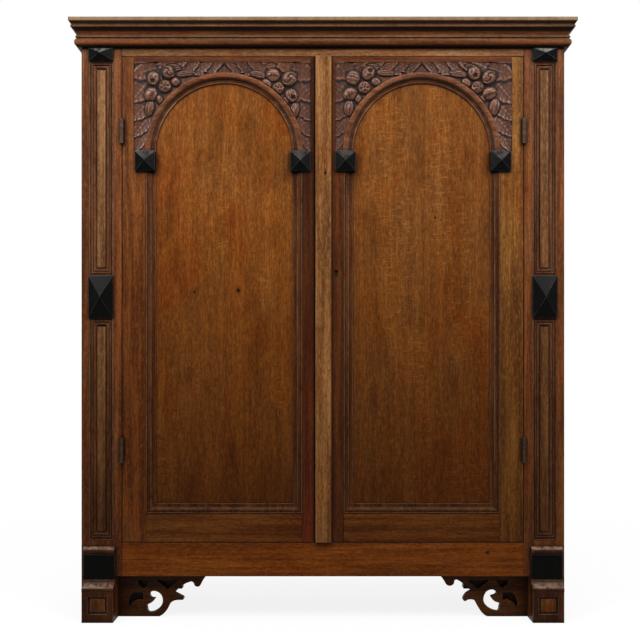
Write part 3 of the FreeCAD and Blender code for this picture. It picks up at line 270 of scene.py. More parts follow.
def use(tree, group, inputs):
    """A shader node group placed in a material with its own values."""
    made = tree.nodes.new("ShaderNodeGroup")
    made.node_tree = group
    for key, value in inputs.items():
        if isinstance(value, bpy.types.NodeSocket):
            tree.links.new(value, made.inputs[key])
        elif made.inputs[key].type == "RGBA":
            made.inputs[key].default_value = (*value[:3], 1)
        else:
            made.inputs[key].default_value = value
    return made.outputs


def new_material(name):
    """An empty material: its tree, its shader and the object's own coordinates."""
    material = bpy.data.materials.new(name)
    material.use_nodes = True
    tree = material.node_tree
    shader = tree.nodes["Principled BSDF"]
    return material, tree, shader, add(tree, "TexCoord").outputs["Object"]


def oak(name, tone, turn=ALONG_Z, shift=(0.0, 0.0, 0.0), streaks=1.0, flecks=0.0, edge_wear_and_light=0.5,
        edge_radius=0.002, wear_and_light_colour=(0.30, 0.16, 0.08), hollow_depth=0.012, hollow_wax_and_shade=0.8, bump=0.25,
        shine=0.06, floor_shade=0.6, upper_wear_and_highlight=0.0, underside_shade=0.0, worn_level=99.0, clouds=0.6,
        spots=()):
    """Oak whose fibres run along an axis, with its own part of the log, its wear, its painted
    highlights and shade, and its knots.

    A spot is its place across and up, and its half width and half height, in millimetres.
    """
    wood = {label: np.multiply(tone, share).tolist() for label, share in TONE_SHARES.items()}
    material, tree, shader, place = new_material(name)
    log = add(tree, "Mapping", {"Vector": place, "Location": shift, "Rotation": turn}).outputs[0]
    figure = use(tree, OAK_FIGURE, {
        "Vector": log, "Dark": wood["dark"], "Middle": wood["middle"], "Light": wood["light"],
        "Streaks": streaks, "Flecks": flecks, "Clouds": clouds})
    colour = figure["Color"]
    for across, up, half_width, half_height in spots:
        colour = use(tree, SPOT, {
            "Color": colour, "Vector": place, "Centre": (across * MM, 0, up * MM),
            "Spread": (1 / (half_width * MM), 0, 1 / (half_height * MM))})["Color"]
    worn_and_lit = use(tree, WEAR_AND_LIGHT, {
        "Color": colour, "Vector": place, "Wear And Light Colour": wear_and_light_colour, "Wax And Shade": WAX_AND_SHADE,
        "Edge Radius": edge_radius, "Edge Wear And Light": edge_wear_and_light, "Hollow Depth": hollow_depth,
        "Hollow Wax And Shade": hollow_wax_and_shade, "Floor Shade": floor_shade, "Upper Wear And Highlight": upper_wear_and_highlight,
        "Underside Shade": underside_shade, "Worn Level": worn_level})
    tree.links.new(worn_and_lit["Color"], shader.inputs["Base Color"])
    tree.links.new(figure["Roughness"], shader.inputs["Roughness"])
    relief = add(tree, "Bump", {"Strength": bump, "Distance": GRAIN_DEPTH,
                                "Height": figure["Height"], "Normal": worn_and_lit["Normal"]})
    tree.links.new(relief.outputs[0], shader.inputs["Normal"])
    shader.inputs["Specular IOR Level"].default_value = shine
    return material


def finish_nodes(material, *names):
    """A CAD node keeps its shape and gets this material."""
    for name in names:
        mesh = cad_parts[name].data
        mesh.materials.clear()
        mesh.materials.append(material)


# Flat members aren't rubbed pale at their edges: their edges are darkened, as grime in the joints
# and painted shade in the gaps between parts
JOINT_GRIME_AND_GAP_SHADE = (0.006, 0.002, 0.001)
FLAT_FINISH = {"edge_wear_and_light": 1.0, "edge_radius": 0.004, "wear_and_light_colour": JOINT_GRIME_AND_GAP_SHADE}
finish_nodes(oak("post_oak", POST_WOOD, shift=(0.3, 0, 0), **FLAT_FINISH),
             "front_post_left", "front_post_right")
finish_nodes(oak("rear_post_oak", REAR_POST_WOOD, shift=(0.7, 0.2, 0.4)),
             "rear_post_left", "rear_post_right")
finish_nodes(oak("top_rail_oak", TOP_RAIL_WOOD, ALONG_X, (0.1, 0.4, 0.2), streaks=0.7,
                 **FLAT_FINISH), "top_rail")
finish_nodes(oak("plinth_oak", PLINTH_WOOD, ALONG_X, (0.5, 0.1, 0.8), streaks=0.8, floor_shade=1.0,
                 spots=PLINTH_KNOTS, **FLAT_FINISH), "plinth_rail")

# Sides, back, top, bottom and shelves
# The sides are flat oak panels in grooves between three rails. The back is plain boards nailed
# on, and the shelves lie loose on cleats. What isn't seen from the front was never stained.

SIDE_WOOD = (0.130, 0.050, 0.014)
INNER_WOOD = (0.30, 0.175, 0.085)
INNER_FINISH = {"edge_wear_and_light": 0.9, "edge_radius": 0.004, "wear_and_light_colour": (0.04, 0.02, 0.01),
                "hollow_wax_and_shade": 0.55, "shine": 0.05, "streaks": 0.8, "floor_shade": 0.9}
finish_nodes(oak("side_rail_oak", POST_WOOD, ALONG_Y, (0.2, 0.5, 0.1)), "side_rails")
finish_nodes(oak("side_panel_oak", SIDE_WOOD, shift=(0, 0.9, 0.3), flecks=0.5), "side_panels")
# The top board's upper face carries painted highlights, broken by rubbing
finish_nodes(oak("top_board_oak", SIDE_WOOD, ALONG_X, (0.6, 0.2, 0.3), hollow_wax_and_shade=0.4,
                 upper_wear_and_highlight=0.35, wear_and_light_colour=(0.24, 0.175, 0.10)), "top_board")
finish_nodes(oak("back_board_wood", INNER_WOOD, shift=(0.8, 0, 0.5), **INNER_FINISH), "back_boards")
finish_nodes(oak("shelf_wood", INNER_WOOD, ALONG_X, (0, 0.3, 0.7), **INNER_FINISH),
             "bottom_board", "lower_shelf", "middle_shelf", "upper_shelf", "rear_rails")
finish_nodes(oak("cleat_wood", INNER_WOOD, ALONG_Y, (0.4, 0, 0.9), **INNER_FINISH), "shelf_cleats")
# The glue blocks are painted nearly black towards the floor, as the shade seen through the brackets'
# holes
finish_nodes(oak("glue_block_wood", REAR_POST_WOOD, ALONG_X, (0.9, 0, 0.2), floor_shade=0.1),
             "glue_blocks")

# Cornice
# A front length and two returns of stained oak, run with moulding planes, mitred at the corners
# and glued on. Its beads and top fillet are rubbed pale, and its beads and upper faces carry
# painted highlights. Its hollows hold dark wax and painted shade, and its undersides painted shade.

CORNICE_WOOD = (0.105, 0.030, 0.007)
CORNICE_OVERHANG = 32
CORNICE_FILLET = 11.5
PALE_WEAR_AND_HIGHLIGHT = (0.24, 0.175, 0.10)
# Painted highlights on arrises and upper faces, painted shade in hollows and undersides
MOULDED_FINISH = {"edge_wear_and_light": 1.0, "edge_radius": 0.005, "wear_and_light_colour": PALE_WEAR_AND_HIGHLIGHT,
                  "hollow_depth": 0.03, "hollow_wax_and_shade": 1.0, "shine": 0.05, "upper_wear_and_highlight": 0.75,
                  "underside_shade": 1.0,
                  "worn_level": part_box("cornice_front")[1].z - CORNICE_FILLET * MM}


def arc(centre_out, centre_rise, radius, start, stop, steps=14):
    """Points of a circle's arc: centre plus radius times cosine and sine, in millimetres."""
    angle = np.radians(np.linspace(start, stop, steps))
    return np.stack([centre_out + radius * np.cos(angle),
                     centre_rise + radius * np.sin(angle)], axis=1)


# Out from the carcass and up from its foot: torus, small bead, cove, bead, splay and top fillet
CORNICE_PROFILE = np.concatenate([
    [(0, 0), (6, 0.6)], arc(3.6, 13.8, 14.4, -62, 60),
    arc(11.5, 30.0, 3.5, -72, 75), arc(30.0, 36.0, 17.5, 186, 120),
    [(23.2, 53.2)], arc(22.6, 58.0, 4.6, -75, 75),
    [(24.6, 63.2), (31.2, 71.8), (32.0, 72.4), (32.0, 82.2), (31.2, 83.0), (0, 83.0)],
])


def moulded_run(name, corners):
    """A closed moulding: its profile carried from one station to the next, each its own mitre."""
    rings = np.stack(corners)
    count = rings.shape[1]
    index = np.arange(count)
    follow = np.roll(index, -1)
    sides = np.stack([index + count, follow + count, follow, index], axis=1)
    mesh = bpy.data.meshes.new(name)
    mesh.from_pydata((rings.reshape(-1, 3) * MM).tolist(), [],
                     sides.tolist() + [index.tolist(), (index + count)[::-1].tolist()])
    piece = bpy.data.objects.new(name, mesh)
    bpy.context.collection.objects.link(piece)
    return piece


lowest, highest = (np.array(corner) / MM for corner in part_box("cornice_front"))
out, rise = CORNICE_PROFILE.T
half_width = highest[0] - CORNICE_OVERHANG + out
face = lowest[1] + CORNICE_OVERHANG - out
end = np.full_like(out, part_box("cornice_return_left")[1].y / MM)
level = lowest[2] + rise
stations = [np.stack(station, axis=1) for station in (
    (-half_width, end, level), (-half_width, face, level),
    (half_width, face, level), (half_width, end, level))]
# The stations between which each length runs, and the way of its grain
CORNICE_RUNS = {"front": (1, 2, ALONG_X), "return_left": (0, 1, ALONG_Y),
                "return_right": (2, 3, ALONG_Y)}
for length, (first, last, grain) in CORNICE_RUNS.items():
    run = moulded_run(f"cornice_{length}_run", (stations[first], stations[last]))
    run.data.materials.append(oak(f"cornice_{length}_oak", CORNICE_WOOD, grain, (0.3, 0.6, 0),
                                  **MOULDED_FINISH))
    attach(run, "carcass")
    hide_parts(f"cornice_{length}")

# Framed strips on the posts
# Each post has two frames of a small mitred moulding, glued into its sunk face. A strip of paler,
# unstained oak lies inside each.

POST_MOULDING_WOOD = (0.104, 0.034, 0.011)
STRIP_WOOD = (0.175, 0.076, 0.026)
# Painted highlights on the arrises, painted shade in the quirks and on the undersides
finish_nodes(oak("post_moulding_oak", POST_MOULDING_WOOD, shift=(0.15, 0, 0.35), edge_wear_and_light=1.0,
                 edge_radius=0.002, wear_and_light_colour=(0.42, 0.27, 0.17), hollow_depth=0.01, hollow_wax_and_shade=1.0,
                 floor_shade=0.5, underside_shade=0.9, shine=0.03), "post_mouldings")
# Painted shade in the frame's recess and towards the floor
finish_nodes(oak("post_strip_oak", STRIP_WOOD, shift=(0.55, 0, 0.15), edge_wear_and_light=0.4,
                 hollow_depth=0.006, hollow_wax_and_shade=0.9, floor_shade=0.25, streaks=1.0,
                 clouds=0.3), "post_strips")

# Ebonised bosses and foot panels
# Small pyramids and flat blocks of close-grained wood, dyed black, polished and glued on. Their
# ridges are rubbed grey and carry painted highlights, and their facets that look up carry a grey
# painted reflection.

EBONY_DARK = (0.0010, 0.0009, 0.0008, 1)
EBONY_LIGHT = (0.0035, 0.0032, 0.0030, 1)


def ebonised(name):
    """Black polished wood: fibres, a thin coat, grey rubbed ridges and a painted grey reflection on
    upper facets.
    """
    material, tree, shader, place = new_material(name)
    fibres = stretched_noise(tree, place, 260.0, 30.0, detail=5.0, roughness=0.7)
    rubs = stretched_noise(tree, place, 70.0, 60.0, detail=5.0, roughness=0.7)
    colour = blend_colour(tree, remap(tree, fibres, 0.35, 0.7), EBONY_DARK, EBONY_LIGHT)
    # Grey painted reflections on facets that look up, painted shade in the hollows and towards the
    # floor
    worn_and_lit = use(tree, WEAR_AND_LIGHT, {
        "Color": colour, "Vector": place, "Wear And Light Colour": (0.24, 0.23, 0.21),
        "Wax And Shade": (0.004, 0.0035, 0.003), "Edge Radius": 0.002, "Edge Wear And Light": 0.6,
        "Hollow Depth": 0.006, "Hollow Wax And Shade": 0.6, "Upper Wear And Highlight": 1.0})
    tree.links.new(worn_and_lit["Color"], shader.inputs["Base Color"])
    tree.links.new(remap(tree, rubs, 0.3, 0.7, 0.22, 0.36), shader.inputs["Roughness"])
    relief = add(tree, "Bump", {"Strength": 0.15, "Distance": 0.0005, "Height": fibres,
                                "Normal": worn_and_lit["Normal"]})
    tree.links.new(relief.outputs[0], shader.inputs["Normal"])
    shader.inputs["Specular IOR Level"].default_value = 0.04
    return material


EBONY = ebonised("ebonised_wood")
finish_nodes(EBONY, "left_post_bosses", "right_post_bosses", "left_door_bosses",
             "right_door_bosses", "foot_panels")

# Foot blocks and tablets
# Blocks of dark stained oak, moulded at the top and glued to the posts' feet. A sunk square in
# each holds a thin faceted tablet.

FOOT_WOOD = (0.044, 0.012, 0.003)
TABLET_WOOD = (0.095, 0.030, 0.006)
# Painted highlights on the tops, painted shade in the hollows and undersides
finish_nodes(oak("foot_oak", FOOT_WOOD, shift=(0.2, 0, 0.6), edge_wear_and_light=0.8, edge_radius=0.003,
                 wear_and_light_colour=(0.26, 0.17, 0.12), hollow_depth=0.02, hollow_wax_and_shade=0.97, floor_shade=1.0,
                 upper_wear_and_highlight=0.9, underside_shade=0.8), "foot_block_left", "foot_block_right")
finish_nodes(oak("tablet_oak", TABLET_WOOD, shift=(0.6, 0, 0.1), edge_wear_and_light=0.8,
                 wear_and_light_colour=(0.40, 0.19, 0.05), floor_shade=1.0), "foot_tablets")

# Scroll brackets
# Thin oak boards sawn to a scroll and pierced, glued to blocks behind the plinth rail. They are
# stained dark and painted darker still as shade, so that they look nearly black.

BRACKET_WOOD_AND_SHADE = (0.054, 0.016, 0.003)
finish_nodes(oak("bracket_oak", BRACKET_WOOD_AND_SHADE, ALONG_X, (0.2, 0.2, 0.4), edge_wear_and_light=0.25,
                 hollow_depth=0.02, floor_shade=1.0), "bracket_left", "bracket_right")

# Door frames
# Two oak stiles, a bottom rail and an arched head board per door, tenoned together. The stiles
# differ in tone and in their painted shade towards the floor as painted light and shade, and the
# left meeting stile is darkest, as painted shadow of the meeting strip.

# Tones and floor shares of the stiles: painted light and shade
STILE_WOOD_AND_LIGHT = {"left": (0.130, 0.038, 0.007), "right": (0.196, 0.074, 0.014)}
STILE_FLOOR_SHADE = {"left": 0.65, "right": 0.27}
MEETING_WOOD_AND_SHADE = {"left": (0.043, 0.0105, 0.002), "right": (0.074, 0.019, 0.004)}
MEETING_FLOOR_SHADE = {"left": 1.5, "right": 0.48}
DOOR_RAIL_WOOD = (0.112, 0.033, 0.005)
HEAD_WOOD = (0.082, 0.023, 0.006)
for side, start in (("left", 0.0), ("right", 0.45)):
    finish_nodes(oak(f"{side}_hinge_stile_oak", STILE_WOOD_AND_LIGHT[side], shift=(start, 0.1, 0.2),
                     floor_shade=STILE_FLOOR_SHADE[side], **FLAT_FINISH), f"{side}_door_hinge_stile")
    finish_nodes(oak(f"{side}_meeting_stile_oak", MEETING_WOOD_AND_SHADE[side], shift=(start, 0.5, 0.6),
                     floor_shade=MEETING_FLOOR_SHADE[side], **FLAT_FINISH), f"{side}_door_meeting_stile")
    finish_nodes(oak(f"{side}_door_rail_oak", DOOR_RAIL_WOOD, ALONG_X, (start, 0.3, 0.1),
                     **FLAT_FINISH), f"{side}_door_bottom_rail")
    finish_nodes(oak(f"{side}_head_oak", HEAD_WOOD, ALONG_X, (start, 0.7, 0.9), hollow_wax_and_shade=0.9),
                 f"{side}_door_head")

# Door panels
# One wide quarter-sawn oak board each, held in the frame's grooves. It shows pale ray flecks and
# a few pin knots, and it is painted darker towards the foot, as shade.

PANEL_WOOD = {"left": (0.185, 0.056, 0.008), "right": (0.164, 0.052, 0.0085)}
# How much darker each panel is painted towards the floor, as shade
PANEL_FLOOR_SHADE = {"left": 0.13, "right": 0.2}
PANEL_KNOTS = {"left": ((-255, 991, 5, 6), (-387, 986, 2, 3)), "right": ((338, 1210, 2, 3),)}
for side, start in (("left", 0.1), ("right", 0.75)):
    finish_nodes(oak(f"{side}_panel_oak", PANEL_WOOD[side], shift=(start, 0.3, start),
                     streaks=0.35, flecks=0.5, hollow_depth=0.03, hollow_wax_and_shade=0.8, shine=0.05,
                     bump=0.2, floor_shade=PANEL_FLOOR_SHADE[side], clouds=0.8, spots=PANEL_KNOTS[side]),
                 f"{side}_door_panel")

# Door mouldings and arches
# A mitred oak moulding glued round three sides of the panel, and a turned arch above it. Their
# ridges are rubbed pale and carry painted highlights, and dark wax and painted shade lie between
# them and on their undersides.

MOULDING_WOOD = (0.080, 0.025, 0.007)
ARCH_WOOD = (0.136, 0.042, 0.013)
for side, start in (("left", 0.35), ("right", 0.85)):
    finish_nodes(oak(f"{side}_door_moulding_oak", MOULDING_WOOD, shift=(start, 0, 0.2),
                     edge_wear_and_light=1.0, edge_radius=0.002, wear_and_light_colour=(0.36, 0.22, 0.13),
                     hollow_depth=0.012, hollow_wax_and_shade=1.0, underside_shade=0.9, shine=0.03),
                 f"{side}_door_moulding")
    finish_nodes(oak(f"{side}_archivolt_oak", ARCH_WOOD, ALONG_X, (start, 0.4, 0.5), edge_wear_and_light=1.0,
                     edge_radius=0.003, wear_and_light_colour=(0.34, 0.20, 0.12), hollow_depth=0.025,
                     hollow_wax_and_shade=1.0, shine=0.08, upper_wear_and_highlight=0.5, underside_shade=0.7),
                 f"{side}_door_archivolt")

# Carved corners
# Each corner of a door head is carved by hand with leaves, pods, buds and fruits in relief, and
# polished, so that the high parts shine. The high parts are rubbed pale with painted highlights, and
# the hollows between them are painted nearly black as shade, with dark wax.

ARCH_CENTRE = 296.5 * MM
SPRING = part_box("left_door_head")[0].z
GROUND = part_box("left_door_carving")[1].y
ARCH_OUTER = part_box("left_door_archivolt")[1].z - SPRING
HEAD_FILLET = 15 * MM      # the plain edge left above the carving
FIELD_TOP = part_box("left_door_head")[1].z - HEAD_FILLET
BOARD_EDGES = {"outer": 567 * MM, "inner": 37.5 * MM}
AROUND, OUTWARD = 400, 120
# Heights over the ground in millimetres: the bed between the leaves, its rise towards the outer
# edge, the gouge's marks, the board's own face and the least thickness
BED, BED_RISE, GOUGE_MARKS, BOARD_FACE, LEAST = 1.6, 2.6, 0.25, 7.5, 0.05
LEAF_DRIFT = 2.0
# A hollow lies below the mean of its surroundings, which so many rounds of smoothing give
HOLLOW_ROUNDS, HOLLOW_FALL, HOLLOW_START = 26, 1.6, 0.24

# Leaves, the lowest first: tip across and up from the arch's centre, base, half width
LEAVES = (
    (236, 30, 262, 88, 16), (232, 84, 258, 150, 18), (216, 136, 262, 210, 22),
    (190, 262, 230, 190, 26), (60, 230, 128, 262, 15), (20, 232, 86, 268, 13),
    (262, 240, 210, 268, 16), (4, 266, 50, 238, 12), (34, 268, 88, 240, 14), (72, 270, 120, 244, 14),
    (108, 272, 168, 248, 15), (150, 272, 214, 240, 20), (264, 0, 238, 60, 16),
    (272, 43, 224, 104, 22), (274, 90, 224, 152, 26), (277, 146, 222, 214, 32),
    (280, 226, 196, 252, 27),
)

# Fruits of each corner: kind, across and up from the arch's centre, half length, half width, turn
FRUITS = {
    "left_door_outer": (
        ("leafy", 150, 256, 24, 8, 10), ("pod", 116, 234, 29, 10, -6), ("bud", 146, 209, 14, 13, 35),
        ("oval", 224, 130, 25, 15, 100), ("bud", 193, 156, 16, 10, 60), ("berry", 178, 196, 20, 19, 0),
        ("cap", 220, 171, 23, 20, 120), ("open", 213, 219, 22, 21, -80),
        ("rose", 168, 238, 21, 20, 200)),
    "left_door_inner": (
        ("leafy", 140, 258, 22, 8, 6), ("pod", 102, 231, 27, 11, -12), ("bud", 128, 204, 17, 13, -40),
        ("oval", 212, 124, 25, 15, 80), ("bud", 185, 152, 17, 11, 55), ("berry", 162, 190, 20, 18, 40),
        ("open", 203, 168, 22, 20, -60), ("rose", 196, 218, 25, 22, 20),
        ("cap", 147, 229, 22, 20, 180)),
    "right_door_inner": (
        ("leafy", 146, 257, 22, 8, 8), ("pod", 108, 236, 28, 10, 4), ("bud", 137, 209, 16, 13, 30),
        ("oval", 219, 131, 25, 16, 98), ("bud", 190, 158, 16, 11, 60), ("berry", 172, 192, 20, 19, 10),
        ("cap", 215, 172, 23, 20, 150), ("ribbed", 206, 221, 23, 22, 105),
        ("open", 160, 235, 22, 21, 130)),
    "right_door_outer": (
        ("leafy", 148, 256, 22, 8, -4), ("pod", 110, 233, 28, 11, -8), ("bud", 135, 207, 16, 12, -35),
        ("oval", 219, 134, 27, 17, 78), ("bud", 185, 160, 17, 10, 50), ("berry", 168, 193, 20, 19, 0),
        ("cap", 204, 174, 23, 20, 200), ("rose", 202, 222, 24, 21, 30),
        ("open", 158, 235, 22, 21, -70)),
}


def leaf_height(across, up, leaf):
    """Height of one leaf, in millimetres, and where it lies.

    Along the leaf the height falls from a raised tip to a tucked base, like a roof tile. Across
    it the blade is cupped, with a midrib, slanting side veins and a lobed edge.
    """
    tip_a, tip_b, base_a, base_b, half = leaf
    length = math.hypot(tip_a - base_a, tip_b - base_b)
    way = np.array([tip_a - base_a, tip_b - base_b]) / length
    along = ((across - base_a) * way[0] + (up - base_b) * way[1]) / length
    side = ((up - base_b) * way[0] - (across - base_a) * way[1]) / half
    swell = np.sin(np.pi * np.clip(along, 0, 1) ** 0.75) ** 0.7 * (1 + 0.07 * np.cos(along * 26))
    side = side / np.maximum(swell, 1e-3)
    inside = (along > 0) & (along < 1) & (np.abs(side) < 1)
    blade = 2.0 + 4.4 * along + 1.2 * side ** 2
    midrib = 0.9 * np.exp(-(side / 0.09) ** 2) * (1 - 0.6 * along)
    veins = 0.22 * np.cos(2 * np.pi * (along * length / 13 - np.abs(side) * 0.9))
    return blade + midrib + veins, inside


def fruit_height(across, up, fruit):
    """Height of one fruit, in millimetres, and where it lies.

    A fruit is a half ellipsoid, and its kind is cut into it. An oval one has ribs along its
    length. A pod has two long grooves. An open one has ribs, and a mouth with five lobes round
    it. A rose has petals that overlap in a spiral. A cap has a husk with a frilled rim over half
    of it. A berry has a five-pointed star round a pit, a ribbed one has bands across it, and a
    bud has one slanting cleft. A leafy one is a low blade with a groove along it.
    """
    kind, centre_a, centre_b, long_half, wide_half, turn = fruit
    angle = math.radians(turn)
    da, db = across - centre_a, up - centre_b
    along = (da * math.cos(angle) + db * math.sin(angle)) / long_half
    side = (-da * math.sin(angle) + db * math.cos(angle)) / wide_half
    reach = np.sqrt(along ** 2 + side ** 2)
    inside = reach < 1
    dome = np.sqrt(np.clip(1 - reach ** 2, 0, 1))
    round_angle = np.arctan2(side, along)
    body = np.clip(dome * 1.6, 0, 1)
    height = 2.0 + (4.0 + 0.36 * min(long_half, wide_half)) * dome
    if kind in ("oval", "open"):
        height += 0.75 * np.cos(8 * np.arctan2(side, np.maximum(dome, 1e-3))) * body
    if kind == "pod":
        grooves = np.exp(-((side - 0.28) / 0.12) ** 2) + np.exp(-((side + 0.3) / 0.12) ** 2)
        height -= 1.7 * grooves * body
    if kind == "open":
        mouth_angle = np.arctan2(side, along - 0.38)
        mouth = np.sqrt((along - 0.38) ** 2 + side ** 2) * (1 + 0.16 * np.cos(5 * mouth_angle))
        height += 2.0 * np.exp(-((mouth - 0.44) / 0.13) ** 2) - 4.6 * np.exp(-(mouth / 0.30) ** 4)
    if kind == "rose":
        petals = (1.1 * reach + round_angle / np.pi) % 1
        height += (1.6 - 4.6 * petals ** 3) * body
    if kind == "cap":
        frill = side - 0.05 - 0.3 * along ** 2 - 0.05 * np.cos(14 * along)
        height -= 1.3 * np.tanh(frill / 0.05)
    if kind == "berry":
        star = np.cos(5 * round_angle) * np.exp(-((reach - 0.50) / 0.26) ** 2)
        height += 2.0 * star - 3.0 * np.exp(-(reach / 0.15) ** 2)
    if kind == "ribbed":
        height -= 1.8 * (0.5 + 0.5 * np.cos(along * 13)) ** 3 * body * (np.abs(side) < 0.8)
    if kind == "bud":
        height -= 1.3 * np.exp(-((side - 0.28 * along) / 0.12) ** 2) * dome
    if kind == "leafy":
        height = 2.4 + 2.4 * dome - 1.4 * np.exp(-(side / 0.12) ** 2)
    return height, inside


def smooth(field, passes):
    """Each point drawn towards the mean of its neighbours, a number of times."""
    for _ in range(passes):
        padded = np.pad(field, 1, mode="edge")
        field = (padded[:-2, 1:-1] + padded[2:, 1:-1] + padded[1:-1, :-2] + padded[1:-1, 2:]) / 4
    return field


def ramp(value, start, stop):
    """Nought at the start, one at the stop, straight between them and level beyond."""
    return np.clip((value - start) / (stop - start), 0, 1)


def carved_corner(name, centre, side, reach, fruits, seed):
    """A carved relief over the space between the arch and the two straight edges of the board.

    One parameter is the angle round the arch's centre, the other runs from the arch to the
    board's edge. The height over the ground is the tallest of the leaves and fruits there, and
    in the corner and over the apex it rises to the board's face.
    """
    top = (FIELD_TOP - SPRING) / MM
    corner = math.atan2(top, reach)
    angle = np.concatenate([np.linspace(0, corner, AROUND // 2, endpoint=False),
                            np.linspace(corner, np.pi / 2, AROUND // 2)])
    share = np.linspace(0, 1, OUTWARD)
    inner = ARCH_OUTER / MM
    outer = np.minimum(reach / np.maximum(np.cos(angle), 1e-6),
                       top / np.maximum(np.sin(angle), 1e-6))
    radius = inner + share[None, :] * (np.maximum(outer, inner + 0.5) - inner)[:, None]
    across = radius * np.cos(angle)[:, None]
    up = radius * np.sin(angle)[:, None]
    random = np.random.default_rng(seed)
    gouge = GOUGE_MARKS * np.sin(across * 0.9 + 3 * np.sin(up * 0.35)) * np.cos(up * 1.1 + seed)
    height = BED + gouge + BED_RISE * ramp(across, 215, 245)
    for leaf in LEAVES:
        moved = tuple(value + random.uniform(-LEAF_DRIFT, LEAF_DRIFT) for value in leaf)
        over, inside = leaf_height(across, up, moved)
        height = np.where(inside, over + gouge * 0.5, height)
    for fruit in fruits:
        over, inside = fruit_height(across, up, fruit)
        height = np.where(inside, np.maximum(height * 0.4, over), height)
    merged = ramp(across, 205, 235) + ramp(across, 75, 45)
    height = np.maximum(height, BOARD_FACE * merged * ramp(up, top - 16, top) ** 1.2)
    height = np.maximum(smooth(height, 2) * np.minimum(share[None, :] * 26, 1), LEAST)
    # The hollow share marks where the carving is painted dark, as shade
    lower = (smooth(height, HOLLOW_ROUNDS) - height) / HOLLOW_FALL
    hollow = np.clip(lower + HOLLOW_START, 0, 1)
    front = np.stack([centre + side * across * MM, GROUND - height * MM, SPRING + up * MM], axis=-1)
    back = front.copy()
    back[..., 1] = GROUND
    return closed_shell(name, front, back, hollow, flip=side > 0)


def closed_shell(name, front, back, hollow, flip):
    """A mesh of two like grids joined at their rims, with the hollow share kept on its points."""
    rows, columns = front.shape[:2]
    index = np.arange(rows * columns).reshape(rows, columns)
    quads = np.stack([index[:-1, :-1], index[1:, :-1], index[1:, 1:], index[:-1, 1:]], axis=-1)
    rim = np.concatenate([index[0, :], index[1:, -1], index[-1, -2::-1], index[-2:0:-1, 0]])
    follow = np.roll(rim, -1)
    walls = np.stack([rim, follow, follow + index.size, rim + index.size], axis=-1)
    quads = quads.reshape(-1, 4)
    faces = np.concatenate([quads, quads[:, ::-1] + index.size, walls])
    if flip:
        faces = faces[:, ::-1]
    mesh = bpy.data.meshes.new(name)
    points = np.concatenate([front.reshape(-1, 3), back.reshape(-1, 3)])
    mesh.from_pydata(points.tolist(), [], faces.tolist())
    mesh.polygons.foreach_set("use_smooth", np.ones(len(faces), bool))
    shade = mesh.attributes.new("hollow", "FLOAT", "POINT")
    shade.data.foreach_set("value", np.concatenate([hollow.ravel(), np.ones(hollow.size)]))
    piece = bpy.data.objects.new(name, mesh)
    bpy.context.collection.objects.link(piece)
    return piece


CARVED_HIGHLIGHT = (0.165, 0.074, 0.045, 1)
CARVED_HOLLOW_SHADE = (0.003, 0.001, 0.0006, 1)


def carved_oak():
    """Polished carving: purple-brown oak, painted near black as shade in the hollows and pale as
    highlights on top.
    """
    material, tree, shader, place = new_material("carved_oak")
    hollow = add(tree, "Attribute", attribute_name="hollow").outputs["Fac"]
    figure = use(tree, OAK_FIGURE, {
        "Vector": place, "Dark": (0.026, 0.007, 0.002), "Middle": (0.072, 0.020, 0.006),
        "Light": (0.13, 0.046, 0.018), "Streaks": 0.8, "Flecks": 0.0, "Clouds": 0.4})
    rubs = stretched_noise(tree, place, 140.0, 140.0, detail=5.0, roughness=0.7)
    # High parts away from the hollows are rubbed pale with painted highlights
    high = calculate(tree, "MULTIPLY", remap(tree, hollow, 0.16, 0.0), remap(tree, rubs, 0.36, 0.60))
    colour = blend_colour(tree, high, figure["Color"], CARVED_HIGHLIGHT)
    # Hollows are painted near black, as shade with dark wax
    colour = blend_colour(tree, remap(tree, hollow, 0.27, 0.50), colour, CARVED_HOLLOW_SHADE)
    tree.links.new(colour, shader.inputs["Base Color"])
    tree.links.new(remap(tree, hollow, 0.1, 0.5, 0.14, 0.70), shader.inputs["Roughness"])
    relief = add(tree, "Bump", {"Strength": 0.35, "Distance": 0.0005,
                                "Height": figure["Height"]})
    tree.links.new(relief.outputs[0], shader.inputs["Normal"])
    shader.inputs["Specular IOR Level"].default_value = 0.2
    return material


CARVED = carved_oak()
for seed, (name, fruits) in enumerate(FRUITS.items()):
    door, edge = name.rsplit("_", 1)
    centre = ARCH_CENTRE if door == "right_door" else -ARCH_CENTRE
    side = 1 if name in ("right_door_outer", "left_door_inner") else -1
    reach = abs(BOARD_EDGES[edge] - ARCH_CENTRE) / MM
    relief = carved_corner(f"{name}_carving", centre, side, reach, fruits, seed)
    relief.data.materials.append(CARVED)
    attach(relief, door)
    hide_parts(f"{door}_carving")

# Meeting strip
# A strip of paler, unstained oak nailed to the right door, over the joint of the two. Its marks
# are two knots and three nail holes.

MEETING_STRIP_WOOD = (0.203, 0.082, 0.023)
STRIP_MARKS = ((7, 1340, 3, 5), (16, 1700, 3, 5), (19, 750, 1.5, 1.5), (19, 580, 1.5, 1.5),
               (19, 410, 1.5, 1.5))
finish_nodes(oak("meeting_strip_oak", MEETING_STRIP_WOOD, shift=(0.25, 0, 0.5), edge_wear_and_light=0.7,
                 edge_radius=0.003, wear_and_light_colour=(0.36, 0.20, 0.10), clouds=0.4, spots=STRIP_MARKS),
             "meeting_strip")

# Hinges, lock and bolts
# Butt hinges and a lock of dark patinated iron, and shoot bolts of dulled brass.


